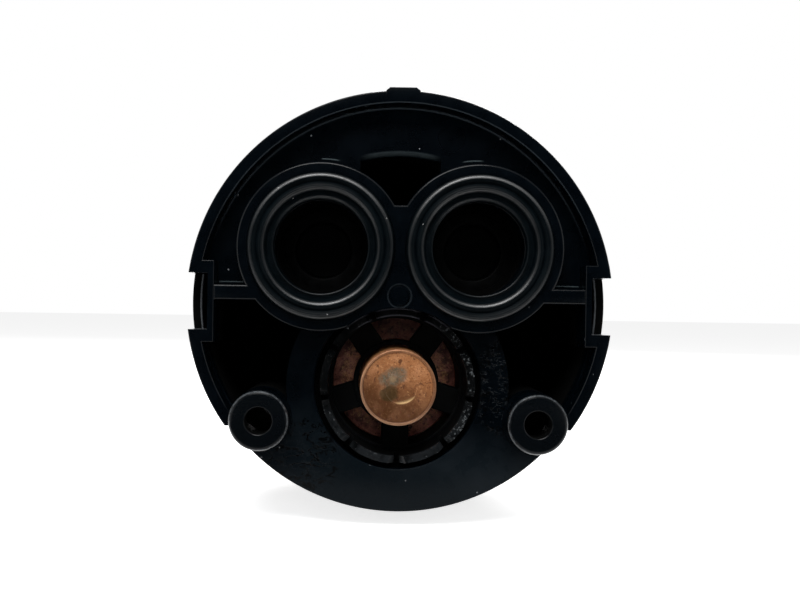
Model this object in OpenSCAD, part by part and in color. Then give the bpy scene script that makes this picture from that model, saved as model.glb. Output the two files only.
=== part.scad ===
// Thermostatic shower cartridge, temperature control only, Ø66 mm base.
// Local axes while a piece is drawn: x right, y down and z back from the rim's
// front edge, as the inlet face is seen. as_installed() turns them to the part
// frame: +X right, +Y back towards the knob, +Z up.

/* [Base rim] */
// Outside diameter of the base rim and of the housing's front part
rim_d = 66; // [62:0.5:72]
// Thickness of the rim wall
rim_wall = 1.9; // [1.4:0.1:2.4]
// Depth of the land and crescent floor behind the rim's front edge
floor_depth = 3.6; // [2.6:0.1:4.6]
// Thickness of the flange under the floor
flange_t = 1.6; // [1.2:0.1:2.4]
// Depth from the rim's front edge to the base's back face, the front valve seat
base_depth = 22; // [20:0.5:26]
// Width of the locating tab on top of the rim
tab_w = 5.4; // [4:0.2:8]
// Height of the locating tab above the rim
tab_h = 0.65; // [0.4:0.05:1.5]
// Height of the side notches
notch_h = 8.8; // [6:0.2:10]
// Depth of the side notches from the rim
notch_depth = 3.3; // [2.5:0.1:3.8]

/* [Inlets] */
// Distance between the inlet centres
inlet_pitch = 24.6; // [24.2:0.2:26]
// Height of the inlet centres above the base centre
inlet_rise = 8.7; // [8:0.1:9.5]
// Inlet bore diameter
inlet_d = 14.6; // [13:0.1:15]
// Outside diameter of the raised collar around each inlet
collar_d = 26.3; // [25.8:0.1:27]
// Outside diameter of the double-bead inlet seal
seal_d = 23; // [22:0.1:23.6]
// Bore of the inlet seal
seal_bore_d = 15; // [14.8:0.1:16]
// Height of the seal beads in front of the raised face
bead_h = 1.2; // [0.6:0.1:1.6]

/* [Fixing] */
// Distance between the two fixing bosses
boss_pitch = 42.8; // [42:0.2:44]
// Distance of the boss centres from the outside of the rim
boss_inset = 4.9; // [4.8:0.1:5.2]
// Outside diameter of a fixing boss
boss_d = 9.4; // [8:0.1:9.6]
// Height of a boss in front of the rim's front edge
boss_h = 1.6; // [0.8:0.1:2]
// Diameter of the through holes for the fixing screws
fix_hole_d = 4.2; // [3.4:0.1:4.6]

/* [Thermostat] */
// Drop of the thermostat axis below the base centre
axis_drop = 13; // [12.8:0.1:13.4]
// Wax capsule bulb diameter
bulb_d = 11.9; // [10:0.1:12.2]
// Wax capsule flange diameter
capsule_flange_d = 21.8; // [21:0.1:22]
// Outside diameter of the outlet cage
cage_d = 24.6; // [24.4:0.1:24.8]
// Number of snap fingers around the cage mouth
finger_count = 9; // [6:1:12]
// Number of windows in the cage
window_count = 5; // [4:1:6]
// Width of a cage spoke
spoke_w = 4.5; // [3:0.1:5]
// Gap between each end of the shuttle and its seat at mid mix
seat_gap = 0.9; // [0.86:0.02:1.2]
// Length of the mixing chamber between the two seats
chamber_len = 17; // [16:0.5:20]

/* [Setting spindle] */
// Lead of the spindle thread
thread_lead = 4; // [2:0.5:4]
// Setting range each way from the middle, in degrees
turn_range = 150; // [90:5:150]
// Spindle thread diameter
thread_d = 9; // [8:0.1:9.4]
// Spindle shaft diameter in the bonnet
shaft_d = 10; // [9.6:0.1:10.4]
// Number of splines on the spindle end
spline_count = 20; // [12:1:28]
// Length of the splined end
spline_len = 12; // [8:0.5:16]

/* [Clearances] */
// Radial running clearance of shafts, nut and shuttle
run_gap = 0.05; // [0.02:0.01:0.09]
// Radial gap of parts that are dropped or pressed into the housing
seat_fit = 0.1; // [0.05:0.01:0.2]
// Radial gap between rubber rings and the walls of their grooves
ring_gap = 0.02; // [0.01:0.01:0.04]

/* [Display] */
// Sub-part to draw, or all

/* [Hidden] */

$fn = 96;
eps = 0.5;

// Levels along the thermostat axis, front to back
z_floor = floor_depth;
z_flange = z_floor + flange_t;
z_seat = base_depth;
gasket_t = 1;
z_valve = z_seat + gasket_t;
z_plate = z_seat + chamber_len;
plate_t = 2;
z_wall = z_plate + plate_t;
rear_wall_t = 3.5;
z_rear = z_wall + rear_wall_t;
bonnet_flange_t = 3;
z_hood = z_rear + bonnet_flange_t;
neck_len = 20.5;
z_neck = z_hood + neck_len;

// Radii about the base centre
rim_r = rim_d / 2;
cup_wall = 1.5;
cup_r = rim_r - cup_wall;
spigot_r = cup_r - seat_fit;
wall_inner_r = rim_r - rim_wall;
pocket_r = rim_r - 2.1;
seal_collar_r = rim_r + 2;
rear_land_r = seal_collar_r - 0.5;
body_ring_r = 1.3;
body_groove_w = 3.2;
body_groove_r = seal_collar_r - 2.1;
notch_x = rim_r - notch_depth;
notch_back_x = notch_x - 1;
notch_back_h = notch_h + 3.9;
notch_tail = 4;
boss_r = boss_d / 2;
boss_drop = sqrt(pow(rim_r - boss_inset, 2) - pow(boss_pitch / 2, 2));
boss_round = 0.8;
wing_top = 2.65;
wing_low = 0.25;
wing_root_x = inlet_pitch / 2 + 5;
wing_foot_x = 20.6;
wing_foot_y = 1.5;
wing_bend_x = 22;
web_half_w = 8;
web_rise = 6.6;
web_low = 3.3;
face_edge = 0.5;
pocket_low = 16.2;
pocket_floor_t = 2.5;
top_pocket_r = 23.4;
top_pocket_w = 12.8;
top_pocket_low = 14;
top_pocket_floor_t = 6;
pin_mark_r = 1.85;
pin_mark_w = 0.4;
pin_mark_rise = 1.2;
ejector_mark_r = 2.05;
ejector_mark_x = 8;
ejector_mark_inset = 6.8;
mark_depth = 0.2;

// Radii about an inlet
inlet_r = inlet_d / 2;
collar_r = collar_d / 2;
duct_r = 6.6;
seal_r = seal_d / 2;
seal_sink = 1.6;
seal_bore_r = seal_bore_d / 2;
lip_r = 0.35;
inner_bead_r = 0.8;
inner_bead_mid_r = seal_r - 2.2;
outer_bead_r = 0.62;
shoulder_r = 6.4;
shoulder_t = 1;
z_check = 9;
check_r = inlet_r - seat_fit;
check_bore_r = 5.9;
check_seat_r = 4.6;
check_seat_t = 2.6;
check_travel = 3;
poppet_r = 5.4;
poppet_t = 1.2;
stem_r = 1.25;
stem_guide_wall = 0.9;
stem_guide_len = 2.5;
check_rib_t = 1.2;
check_ring_r = 0.46;
check_groove_w = 1.6;
z_check_ring = z_check + 4.8;
check_wire_r = 0.25;

z_poppet = z_check + check_seat_t + 0.02;

// Radii about the thermostat axis
bulb_r = bulb_d / 2;
capsule_flange_r = capsule_flange_d / 2;
cage_r = cage_d / 2;
cage_wall = 1.2;
mouth_r = cage_r - cage_wall;
window_r = mouth_r - 0.45;
hub_r = bulb_r + 0.35;
hub_wall = 0.8;
outlet_r = cage_r + seat_fit;
recess_r = outlet_r + 0.85;
recess_len = 3.5;
bulb_rim_t = 0.45;
bulb_sink = 0.3;
bulb_foot = 1.2;
dent_r = 2.6;
dent_depth = 0.09;
dent_tilt = 4.2;
dent_x = 0.46;
dent_rise = 0.05;
throat_r = outlet_r - 0.5;
sleeve_r = 12.3;
sleeve_wall = 1;
shuttle_r = sleeve_r + sleeve_wall;
head_rise = 2;
piston_head_r = shuttle_r + head_rise;
land_r = piston_head_r + run_gap;
annulus_r = piston_head_r + 1.1;
shuttle_ring_r = 0.78;
shuttle_groove_w = 1.9;
shuttle_groove_r = piston_head_r - 1.6;
shuttle_hub_wall = 1.9;
shuttle_rib_t = 1.6;
return_wire_r = 0.5;
nut_r = 8.6;
nut_bore_r = nut_r + run_gap;
neck_r = 13;
neck_root_r = neck_r - 0.8;
neck_root_len = 3;
stop_lug_r = neck_r - 0.6;
stop_ring_r = 10.4;
stop_lug_half = 14;
surround_r = recess_r + 4.4;
spigot_bore_r = 12;

// Front of the bulb
z_bulb = 0.5;

// Outlet cage levels
z_cage = z_floor - 0.4;
spider_setback = 6.9;
z_spider = z_floor + spider_setback;
spider_t = 2.5;
cage_tail = 4.5;
z_cage_end = base_depth - cage_tail;
slot_w = 0.9;
slot_depth = 4.4;

// Shuttle, capsule and piston levels
z_sleeve = z_seat + seat_gap;
sleeve_len = chamber_len - 2 * seat_gap;
z_mid = (z_seat + z_plate) / 2;
head_len = 4;
land_len = head_len + 0.6;
z_body_ring = z_mid - 3;
z_capsule_flange = z_cage_end + 1.9;
capsule_flange_t = 1.4;
z_guide = z_capsule_flange + capsule_flange_t;
guide_r = 4;
guide_len = 9.7;
piston_r = 1.5;
z_piston = z_guide + 3.7;
z_thrust = z_plate - 2;

// Setting nut, overload unit and spindle levels
nut_travel = thread_lead * turn_range / 360;
overload_travel = 2;
plunger_r = 6.4;
plunger_t = 1.7;
plunger_boss_r = 3.6;
plunger_boss_len = 3.6;
overload_wire_r = 0.6;
overload_ring_r = 5.45;
nut_cup_r = plunger_r + run_gap;
clip_t = 1;
clip_gap = 3.5;
clip_inner_r = 5.2;
nut_key_w = 20;
nut_key_t = 3;
z_nut = z_thrust - clip_t - 0.1;
nut_lip = 1;
nut_cup_len = 9.5;
nut_thread_len = 4.6;
z_cup_end = z_thrust + nut_cup_len;
z_nut_end = z_cup_end + nut_thread_len;
thread_r = thread_d / 2;
shaft_r = shaft_d / 2;
z_spindle = z_cup_end + 0.4;
z_thrust_collar = z_nut_end + nut_travel + 1.6;
thrust_collar_t = 2;
thrust_collar_r = 7;
washer_t = 0.6;
z_shoulder = z_thrust_collar + thrust_collar_t + washer_t;
groove_r = shaft_r - 1.3;
oring_groove_w = 1.7;
spindle_ring_r = 0.63;
spindle_grooves = [z_shoulder + 2, z_shoulder + 6];
z_spindle_clip = z_neck + 0.2;
spindle_clip_t = 0.9;
spindle_clip_gap = 6;
z_stop = z_spindle_clip + spindle_clip_t + 0.2;
stop_t = 3.2;
z_end = z_stop + stop_t + 1 + spline_len;
knob_hole_r = 1.65;
knob_hole_len = 12;
spline_tip = 0.4;
spline_foot = 0.84;
spline_depth = 1.1;

// Fasteners
screw_inset = 5;
screw_ring_r = rim_r - screw_inset;
screw_angles = [-90, -145, -35];
screw_r = 1.5;
screw_head_r = 2.75;
screw_head_h = 1.9;
screw_hold_len = 10;
z_screw_tip = z_seat - screw_hold_len;
screw_slot_w = 0.8;
bonnet_screw_r = 1.25;
bonnet_head_r = 2.1;
bonnet_head_h = 1.6;
bonnet_screw_ring_r = neck_root_r + bonnet_head_r + 1.1;
bonnet_screw_angles = [45, 135, 225, 315];
bonnet_flange_r = bonnet_screw_ring_r + 2.6;
bonnet_groove_t = 1.3;
bonnet_ring_r = 0.62;
bonnet_ring_mid_r = spigot_bore_r + 1;
grip_groove_w = 1.2;
grip_groove_depth = 0.6;

black = [0.05, 0.05, 0.055];
rubber = [0.09, 0.09, 0.09];
brass = [0.75, 0.6, 0.3];
steel = [0.7, 0.7, 0.72];
copper = [0.72, 0.42, 0.28];
acetal = [0.86, 0.86, 0.82];

module as_installed()
    rotate([-90, 0, 0])
        children();

module on_axis()
    translate([0, axis_drop, 0])
        children();

module at_inlet(side)
    translate([side * inlet_pitch / 2, -inlet_rise, 0])
        children();

module at_bosses()
    for (side = [-1, 1])
        translate([side * boss_pitch / 2, boss_drop, 0])
            children();

module at_screws()
    for (a = screw_angles)
        rotate([0, 0, a])
            translate([screw_ring_r, 0, 0])
                children();

module at_bonnet_screws()
    on_axis()
        for (a = bonnet_screw_angles)
            rotate([0, 0, a])
                translate([bonnet_screw_ring_r, 0, 0])
                    children();

// Round bar or hole between two levels
module bar(r, z0, z1)
    translate([0, 0, z0])
        cylinder(r = r, h = z1 - z0);

// Flat shape raised between two levels
module slab(z0, z1)
    translate([0, 0, z0])
        linear_extrude(z1 - z0)
            children();

// Tube between two levels
module tube(r_in, r_out, z0, z1)
    slab(z0, z1)
        difference() {
            circle(r = r_out);
            circle(r = r_in);
        }

// Rubber ring of round section
module ring(r_mean, r_section, z)
    translate([0, 0, z])
        rotate_extrude()
            translate([r_mean, 0])
                circle(r = r_section, $fn = 48);

// Coil spring of level and sloping half turns, joined inside short sleeves
module coil(r_mean, wire_r, z0, z1, turns) {
    joint_r = wire_r + 0.03;
    rise = (z1 - z0 - 2 * joint_r) / turns;
    slope = atan(rise / 2 / r_mean);
    for (i = [0 : turns])
        translate([0, 0, z0 + joint_r + i * rise]) {
            rotate_extrude(angle = 180)
                translate([r_mean, 0])
                    circle(r = wire_r, $fn = 32);
            if (i < turns)
                coil_joint(-r_mean, joint_r);
            if (i > 0)
                coil_joint(r_mean, joint_r);
        }
    for (i = [0 : turns - 1])
        translate([0, 0, z0 + joint_r + (i + 0.5) * rise])
            rotate([0, -slope, 0])
                rotate([0, 0, 180])
                    rotate_extrude(angle = 180)
                        translate([r_mean / cos(slope), 0])
                            circle(r = wire_r, $fn = 32);
}

module coil_joint(x, r)
    translate([x, 0, 0])
        rotate([90, 0, 0])
            cylinder(r = r, h = 0.4, center = true);

// Pan-head screw with its tip at z0 and its head seated at z1
module screw(r, head_r, head_h, z0, z1)
    difference() {
        union() {
            bar(r, z0, z1);
            bar(head_r, z1, z1 + head_h);
        }
        for (turn = [0, 90])
            rotate([0, 0, turn])
                translate([-head_r, -screw_slot_w / 2, z1 + head_h - screw_slot_w])
                    cube([2 * head_r, screw_slot_w, 1]);
    }

// Raised face: two inlet collars, the web between them and the side wings
module plate_shape(inset) {
    top = -wing_top + inset;
    low = -wing_low - inset;
    for (side = [-1, 1]) {
        translate([side * inlet_pitch / 2, -inlet_rise])
            circle(r = collar_r - inset);
        polygon([
            [side * wing_root_x, top],
            [side * (notch_back_x + 0.2), top],
            [side * (notch_back_x + 0.2), low],
            [side * wing_bend_x, low],
            [side * wing_foot_x, wing_foot_y - inset],
            [side * wing_root_x, wing_foot_y - inset]
        ]);
    }
    translate([-web_half_w, -inlet_rise - web_rise + inset])
        square([2 * web_half_w, inlet_rise + web_rise + web_low - 2 * inset]);
}

// Wall outside the pocket, thickened behind each side notch
module notch_back_shape()
    intersection() {
        circle(r = rim_r);
        for (side = [-1, 1])
            translate([side * (notch_back_x + rim_r) / 2, 0])
                square([rim_r - notch_back_x, notch_back_h], center = true);
    }

// Deep core-out beside the outlet, one on each side
module side_pocket_shape()
    difference() {
        circle(r = pocket_r);
        translate([-rim_d, -2 * rim_d - wing_low])
            square(2 * rim_d);
        translate([-rim_d, pocket_low])
            square(2 * rim_d);
        translate([-surround_r * 0.6, -rim_d])
            square([surround_r * 1.2, 2 * rim_d]);
        translate([0, axis_drop])
            circle(r = surround_r);
        plate_shape(0);
        notch_back_shape();
        at_bosses()
            circle(r = boss_r);
    }

// Core-out between the two inlet collars above the web
module top_pocket_shape()
    intersection() {
        difference() {
            circle(r = top_pocket_r);
            plate_shape(-0.02);
        }
        translate([-top_pocket_w / 2, -rim_r])
            square([top_pocket_w, rim_r - top_pocket_low]);
    }

module boss_solid()
    translate([0, 0, z_flange])
        mirror([0, 0, 1])
            rotate_extrude()
                union() {
                    square([boss_r - boss_round, z_flange + boss_h]);
                    square([boss_r, z_flange + boss_h - boss_round]);
                    translate([boss_r - boss_round, z_flange + boss_h - boss_round])
                        circle(r = boss_round, $fn = 48);
                }

module inlet_way(side)
    at_inlet(side) {
        bar(inlet_r, -eps, z_check - shoulder_t);
        bar(shoulder_r, 0, z_seat);
        bar(inlet_r, z_check, z_seat + eps);
        bar(seal_r + seat_fit / 2, -eps, seal_sink);
    }

module base_housing()
    color(black)
        as_installed()
            difference() {
                union() {
                    slab(z_floor, z_flange)
                        circle(r = rim_r);
                    slab(z_flange - 0.1, z_seat)
                        circle(r = spigot_r);
                    slab(0, z_floor + 0.1)
                        intersection() {
                            difference() {
                                circle(r = rim_r);
                                circle(r = wall_inner_r);
                            }
                            translate([-rim_d, boss_drop - 2 * rim_d + 1])
                                square(2 * rim_d);
                        }
                    slab(0, z_floor + 0.1)
                        notch_back_shape();
                    slab(face_edge, z_floor + 0.1)
                        plate_shape(0);
                    slab(0, face_edge + 0.1)
                        plate_shape(face_edge);
                    at_bosses()
                        boss_solid();
                    translate([0, -rim_r, 0])
                        slab(0, z_flange)
                            polygon([
                                [-tab_w / 2, 1],
                                [-tab_w / 2, 0],
                                [-tab_w / 2 + tab_h, -tab_h],
                                [tab_w / 2 - tab_h, -tab_h],
                                [tab_w / 2, 0],
                                [tab_w / 2, 1]
                            ]);
                }
                slab(-eps, z_seat - pocket_floor_t)
                    side_pocket_shape();
                slab(-eps, z_seat - top_pocket_floor_t)
                    top_pocket_shape();
                for (side = [-1, 1]) {
                    inlet_way(side);
                    slab(-eps, z_flange + notch_tail)
                        translate([side * (notch_x + rim_r / 2), 0])
                            square([rim_r, notch_h], center = true);
                }
                on_axis() {
                    bar(outlet_r, -eps, z_cage_end);
                    bar(recess_r, z_floor, z_floor + recess_len);
                    bar(throat_r, z_cage_end - 0.1, z_seat + eps);
                }
                at_bosses()
                    bar(fix_hole_d / 2, -boss_h - eps, z_seat + eps);
                at_screws()
                    bar(screw_r + ring_gap, z_screw_tip - 1, z_seat + eps);
                translate([0, -pin_mark_rise, 0])
                    tube(pin_mark_r - pin_mark_w, pin_mark_r, -eps, mark_depth);
                translate([ejector_mark_x, ejector_mark_inset - rim_r, 0])
                    bar(ejector_mark_r, z_floor - 0.1, z_floor + mark_depth);
            }

module seal_profile() {
    web_h = bead_h - inner_bead_r;
    translate([seal_bore_r, -seal_sink])
        square([seal_r - seal_bore_r, seal_sink + 0.15]);
    translate([seal_bore_r + lip_r, 0])
        circle(r = lip_r, $fn = 32);
    translate([inner_bead_mid_r, web_h])
        circle(r = inner_bead_r, $fn = 48);
    translate([inner_bead_mid_r - inner_bead_r, 0])
        square([seal_r - outer_bead_r - inner_bead_mid_r + inner_bead_r, web_h]);
    translate([seal_r - outer_bead_r, bead_h - outer_bead_r])
        circle(r = outer_bead_r, $fn = 48);
    translate([seal_r - 2 * outer_bead_r, 0])
        square([2 * outer_bead_r, bead_h - outer_bead_r]);
}

module inlet_seals()
    color(rubber)
        as_installed()
            for (side = [-1, 1])
                at_inlet(side)
                    mirror([0, 0, 1])
                        rotate_extrude()
                            seal_profile();

module outlet_cage()
    color(black)
        as_installed()
            on_axis() {
                difference() {
                    rotate_extrude()
                        polygon([
                            [mouth_r + 0.3, z_cage],
                            [cage_r - 0.4, z_cage],
                            [cage_r, z_cage + 0.4],
                            [cage_r, z_cage_end],
                            [window_r, z_cage_end],
                            [window_r, z_spider],
                            [mouth_r, z_spider],
                            [mouth_r, z_cage + 0.3]
                        ]);
                    for (i = [0 : finger_count - 1])
                        rotate([0, 0, -90 + (i + 0.5) * 360 / finger_count])
                            translate([mouth_r - 1, -slot_w / 2, z_cage - eps])
                                cube([cage_wall + 2, slot_w, slot_depth + eps]);
                }
                tube(hub_r, hub_r + hub_wall, z_spider, z_spider + spider_t + 1);
                for (i = [0 : window_count - 1])
                    rotate([0, 0, -90 + (i + 0.5) * 360 / window_count])
                        slab(z_spider + 0.3, z_spider + spider_t)
                            difference() {
                                translate([0, -spoke_w / 2])
                                    square([window_r + 0.8, spoke_w]);
                                circle(r = hub_r + hub_wall / 2);
                            }
            }

module wax_capsule()
    color(copper)
        as_installed()
            on_axis()
                difference() {
                    union() {
                        bar(bulb_r, z_bulb, z_capsule_flange + 0.1);
                        bar(bulb_r + bulb_foot, z_capsule_flange - bulb_foot, z_capsule_flange + 0.1);
                        bar(capsule_flange_r, z_capsule_flange, z_guide);
                    }
                    bar(bulb_r - bulb_rim_t, 0, z_bulb + bulb_sink);
                    translate([dent_x, -dent_rise, z_bulb + bulb_sink + dent_depth])
                        rotate(a = dent_tilt, v = [1, 0.35, 0])
                            bar(dent_r, -eps - bulb_sink, 0);
                }

module capsule_guide()
    color(brass)
        as_installed()
            on_axis()
                tube(piston_r + run_gap, guide_r, z_guide, z_guide + guide_len);

module capsule_piston()
    color(steel)
        as_installed()
            on_axis()
                bar(piston_r, z_piston, z_thrust);

module shuttle()
    color(acetal)
        as_installed()
            on_axis()
                difference() {
                    union() {
                        tube(sleeve_r, shuttle_r, z_sleeve, z_sleeve + sleeve_len);
                        tube(sleeve_r + 0.5, piston_head_r, z_mid - head_len / 2, z_mid + head_len / 2);
                        tube(guide_r + seat_fit / 2, guide_r + shuttle_hub_wall, z_guide, z_mid);
                        for (i = [0 : 5])
                            rotate([0, 0, i * 60])
                                translate([guide_r + 1, -shuttle_rib_t / 2, z_sleeve + 1])
                                    cube([sleeve_r - guide_r - 0.6, shuttle_rib_t,
                                        z_mid - z_sleeve - 1]);
                    }
                    tube(shuttle_groove_r, piston_head_r + eps, z_mid - shuttle_groove_w / 2,
                        z_mid + shuttle_groove_w / 2);
                }

module shuttle_seal()
    color(rubber)
        as_installed()
            on_axis()
                ring(piston_head_r - 0.8 + ring_gap, shuttle_ring_r, z_mid);

module return_spring()
    color(steel)
        as_installed()
            on_axis()
                coil((shuttle_r + piston_head_r) / 2, return_wire_r, z_seat + 0.01,
                    z_mid - head_len / 2 - 0.01, 3);

// Holes that every inner plate shares for the long screws
module long_holes_shape() {
    at_bosses()
        circle(r = fix_hole_d / 2 + 0.1);
    at_screws()
        circle(r = screw_r + 0.2);
}

module port_gasket()
    color(rubber)
        as_installed()
            slab(z_seat, z_valve)
                difference() {
                    circle(r = spigot_r - 0.2);
                    translate([0, axis_drop])
                        circle(r = annulus_r);
                    at_inlet(-1)
                        circle(r = duct_r + 0.3);
                    at_inlet(1)
                        circle(r = duct_r + 0.3);
                    long_holes_shape();
                }

module valve_body()
    color(black)
        as_installed()
            difference() {
                slab(z_valve, z_plate)
                    difference() {
                        circle(r = spigot_r);
                        long_holes_shape();
                    }
                on_axis() {
                    bar(land_r, z_seat, z_plate + eps);
                    bar(annulus_r, z_seat, z_mid - land_len / 2);
                    bar(annulus_r, z_mid + land_len / 2, z_plate + eps);
                }
                at_inlet(1)
                    bar(duct_r, z_seat, z_mid - land_len / 2);
                at_inlet(-1)
                    bar(duct_r, z_seat, z_plate + eps);
                port_slot(1, z_valve - eps, z_mid - land_len / 2);
                port_slot(-1, z_mid + land_len / 2, z_plate + eps);
            }

// Slot that joins an inlet duct to the ring-shaped space around the shuttle
module port_slot(side, z0, z1)
    slab(z0, z1)
        polygon([
            [side * (inlet_pitch / 2 - duct_r + 1.6), -inlet_rise + 2],
            [side * (inlet_pitch / 2 + duct_r - 2), -inlet_rise + 2],
            [side * (inlet_pitch / 2 + 1.5), axis_drop - annulus_r / 2],
            [side * 3, axis_drop - annulus_r + 3.4]
        ]);

module seat_plate()
    color(brass)
        as_installed()
            slab(z_plate, z_wall)
                difference() {
                    circle(r = spigot_r);
                    translate([0, axis_drop])
                        circle(r = nut_r + 0.4);
                    long_holes_shape();
                }

module rear_housing()
    color(black)
        as_installed()
            difference() {
                rotate_extrude()
                    polygon([
                        [0, z_flange],
                        [rim_r, z_flange],
                        [rim_r, z_seat - 4.5],
                        [seal_collar_r, z_seat - 3],
                        [seal_collar_r, z_body_ring],
                        [rear_land_r, z_body_ring],
                        [rear_land_r, z_plate - 6],
                        [rim_r, z_plate - 4.5],
                        [rim_r, z_rear - 1.5],
                        [rim_r - 1.5, z_rear],
                        [0, z_rear]
                    ]);
                bar(cup_r, z_flange - eps, z_wall);
                tube(body_groove_r, seal_collar_r + eps, z_body_ring - body_groove_w / 2,
                    z_body_ring + body_groove_w / 2);
                on_axis()
                    bar(spigot_bore_r, z_wall - eps, z_rear + eps);
                slab(z_wall - eps, z_rear + eps)
                    long_holes_shape();
                at_bonnet_screws()
                    bar(bonnet_screw_r + ring_gap, z_wall - eps, z_rear + eps);
            }

module body_seal()
    color(rubber)
        as_installed()
            ring(body_groove_r + body_ring_r + ring_gap, body_ring_r, z_body_ring);

// Check valve: sleeve with a front seat and a rear guide hub
module check_body(side)
    color(black)
        as_installed()
            at_inlet(side) {
                difference() {
                    rotate_extrude()
                        polygon([
                            [check_seat_r, z_check],
                            [check_r, z_check],
                            [check_r, z_seat - 0.02],
                            [check_bore_r, z_seat - 0.02],
                            [check_bore_r, z_check + check_seat_t],
                            [check_seat_r, z_check + check_seat_t]
                        ]);
                    tube(check_r - 1, check_r + eps, z_check_ring - check_groove_w / 2,
                        z_check_ring + check_groove_w / 2);
                }
                tube(stem_r + run_gap, stem_r + run_gap + stem_guide_wall,
                    z_seat - stem_guide_len, z_seat - 0.02);
                for (i = [0 : 2])
                    rotate([0, 0, i * 120])
                        translate([stem_r + 0.6, -check_rib_t / 2, z_seat - stem_guide_len])
                            cube([check_bore_r - stem_r - 0.4, check_rib_t, stem_guide_len - 0.02]);
            }

module check_body_hot()
    check_body(1);

module check_body_cold()
    check_body(-1);

module check_seals()
    color(rubber)
        as_installed()
            for (side = [-1, 1])
                at_inlet(side)
                    ring(check_r - 0.5, check_ring_r, z_check_ring);

module check_poppet(side)
    color(acetal)
        as_installed()
            at_inlet(side) {
                bar(poppet_r, z_poppet, z_poppet + poppet_t);
                bar(stem_r, z_poppet + 0.1, z_seat + 0.4);
            }

module check_poppet_hot()
    check_poppet(1);

module check_poppet_cold()
    check_poppet(-1);

module check_spring(side)
    color(steel)
        as_installed()
            at_inlet(side)
                coil(stem_r + 0.6, check_wire_r, z_poppet + poppet_t + 0.01,
                    z_seat - stem_guide_len - 0.01, 4);

module check_spring_hot()
    check_spring(1);

module check_spring_cold()
    check_spring(-1);

module overload_plunger()
    color(brass)
        as_installed()
            on_axis() {
                bar(plunger_r, z_thrust, z_thrust + plunger_t);
                bar(plunger_boss_r, z_thrust + plunger_t - 0.1, z_thrust + plunger_t + plunger_boss_len);
            }

module overload_spring()
    color(steel)
        as_installed()
            on_axis()
                coil(overload_ring_r, overload_wire_r, z_thrust + plunger_t + 0.01,
                    z_cup_end - 0.01, 3);

module plunger_clip()
    color(steel)
        as_installed()
            on_axis()
                slab(z_thrust - clip_t, z_thrust)
                    difference() {
                        circle(r = nut_cup_r + 0.55);
                        circle(r = clip_inner_r);
                        translate([-clip_gap / 2, -2 * plunger_r])
                            square([clip_gap, 2 * plunger_r]);
                    }

module setting_nut()
    color(acetal)
        as_installed()
            on_axis()
                difference() {
                    union() {
                        bar(nut_r, z_nut - nut_lip, z_nut_end);
                        slab(z_rear, z_nut_end - nut_lip)
                            square([nut_key_w, nut_key_t], center = true);
                    }
                    bar(nut_cup_r, z_nut - nut_lip - eps, z_cup_end);
                    bar(nut_cup_r + 0.6, z_thrust - clip_t - 0.02, z_thrust + 0.02);
                    bar(thread_r + run_gap, z_cup_end - 0.1, z_nut_end + eps);
                }

module bonnet()
    color(brass)
        as_installed()
            on_axis()
                difference() {
                    union() {
                        bar(spigot_bore_r - seat_fit, z_wall + 0.1, z_rear + 0.1);
                        bar(bonnet_flange_r, z_rear, z_hood);
                        bar(neck_root_r, z_hood - 0.1, z_neck - 1);
                        bar(neck_r, z_hood + neck_root_len, z_neck);
                        slab(z_neck - 0.1, z_stop + stop_t - 0.4)
                            stop_lug_shape(90, stop_lug_r, stop_ring_r + 0.5);
                    }
                    bar(nut_bore_r, z_wall, z_thrust_collar - 0.2);
                    slab(z_wall, z_thrust_collar - 0.2)
                        square([nut_key_w + 0.2, nut_key_t + 0.2], center = true);
                    bar(thrust_collar_r + 0.3, z_thrust_collar - 0.3, z_shoulder);
                    bar(shaft_r + run_gap, z_shoulder - 0.1, z_neck + eps);
                    tube(bonnet_ring_mid_r - 0.8, bonnet_ring_mid_r + 0.8, z_rear - eps,
                        z_rear + bonnet_groove_t);
                    for (a = bonnet_screw_angles)
                        rotate([0, 0, a])
                            translate([bonnet_screw_ring_r, 0, 0])
                                bar(bonnet_screw_r + 0.15, z_rear - eps, z_hood + eps);
                    for (i = [1 : 4])
                        translate([0, 0, z_hood + neck_root_len + i * 2.5 * grip_groove_w])
                            tube(neck_r - grip_groove_depth, neck_r + eps, 0, grip_groove_w);
                }

// Stop lug between two radii
module stop_lug_shape(angle, r_out, r_in)
    rotate(angle)
        intersection() {
            difference() {
                circle(r = r_out);
                circle(r = r_in);
            }
            polygon([
                [0, 0],
                [rim_d, -rim_d * tan(stop_lug_half)],
                [rim_d, rim_d * tan(stop_lug_half)]
            ]);
        }

module bonnet_seal()
    color(rubber)
        as_installed()
            on_axis()
                ring(bonnet_ring_mid_r, bonnet_ring_r, z_rear + bonnet_ring_r + ring_gap);

module bonnet_screws()
    color(steel)
        as_installed()
            at_bonnet_screws()
                screw(bonnet_screw_r, bonnet_head_r, bonnet_head_h, z_wall + 0.2, z_hood);

module housing_screws()
    color(steel)
        as_installed()
            at_screws()
                screw(screw_r, screw_head_r, screw_head_h, z_screw_tip, z_rear);

// Splined section, grown all round by a gap for the hole that slides over it
module spline_shape(grow) {
    foot_x = shaft_r - 0.1 - spline_depth;
    tip_x = shaft_r - 0.1 + grow;
    circle(r = shaft_r - 0.75 + grow);
    for (i = [0 : spline_count - 1])
        rotate(i * 360 / spline_count)
            polygon([
                [foot_x, -spline_foot / 2 - grow],
                [tip_x, -spline_tip / 2 - grow],
                [tip_x, spline_tip / 2 + grow],
                [foot_x, spline_foot / 2 + grow]
            ]);
}

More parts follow.
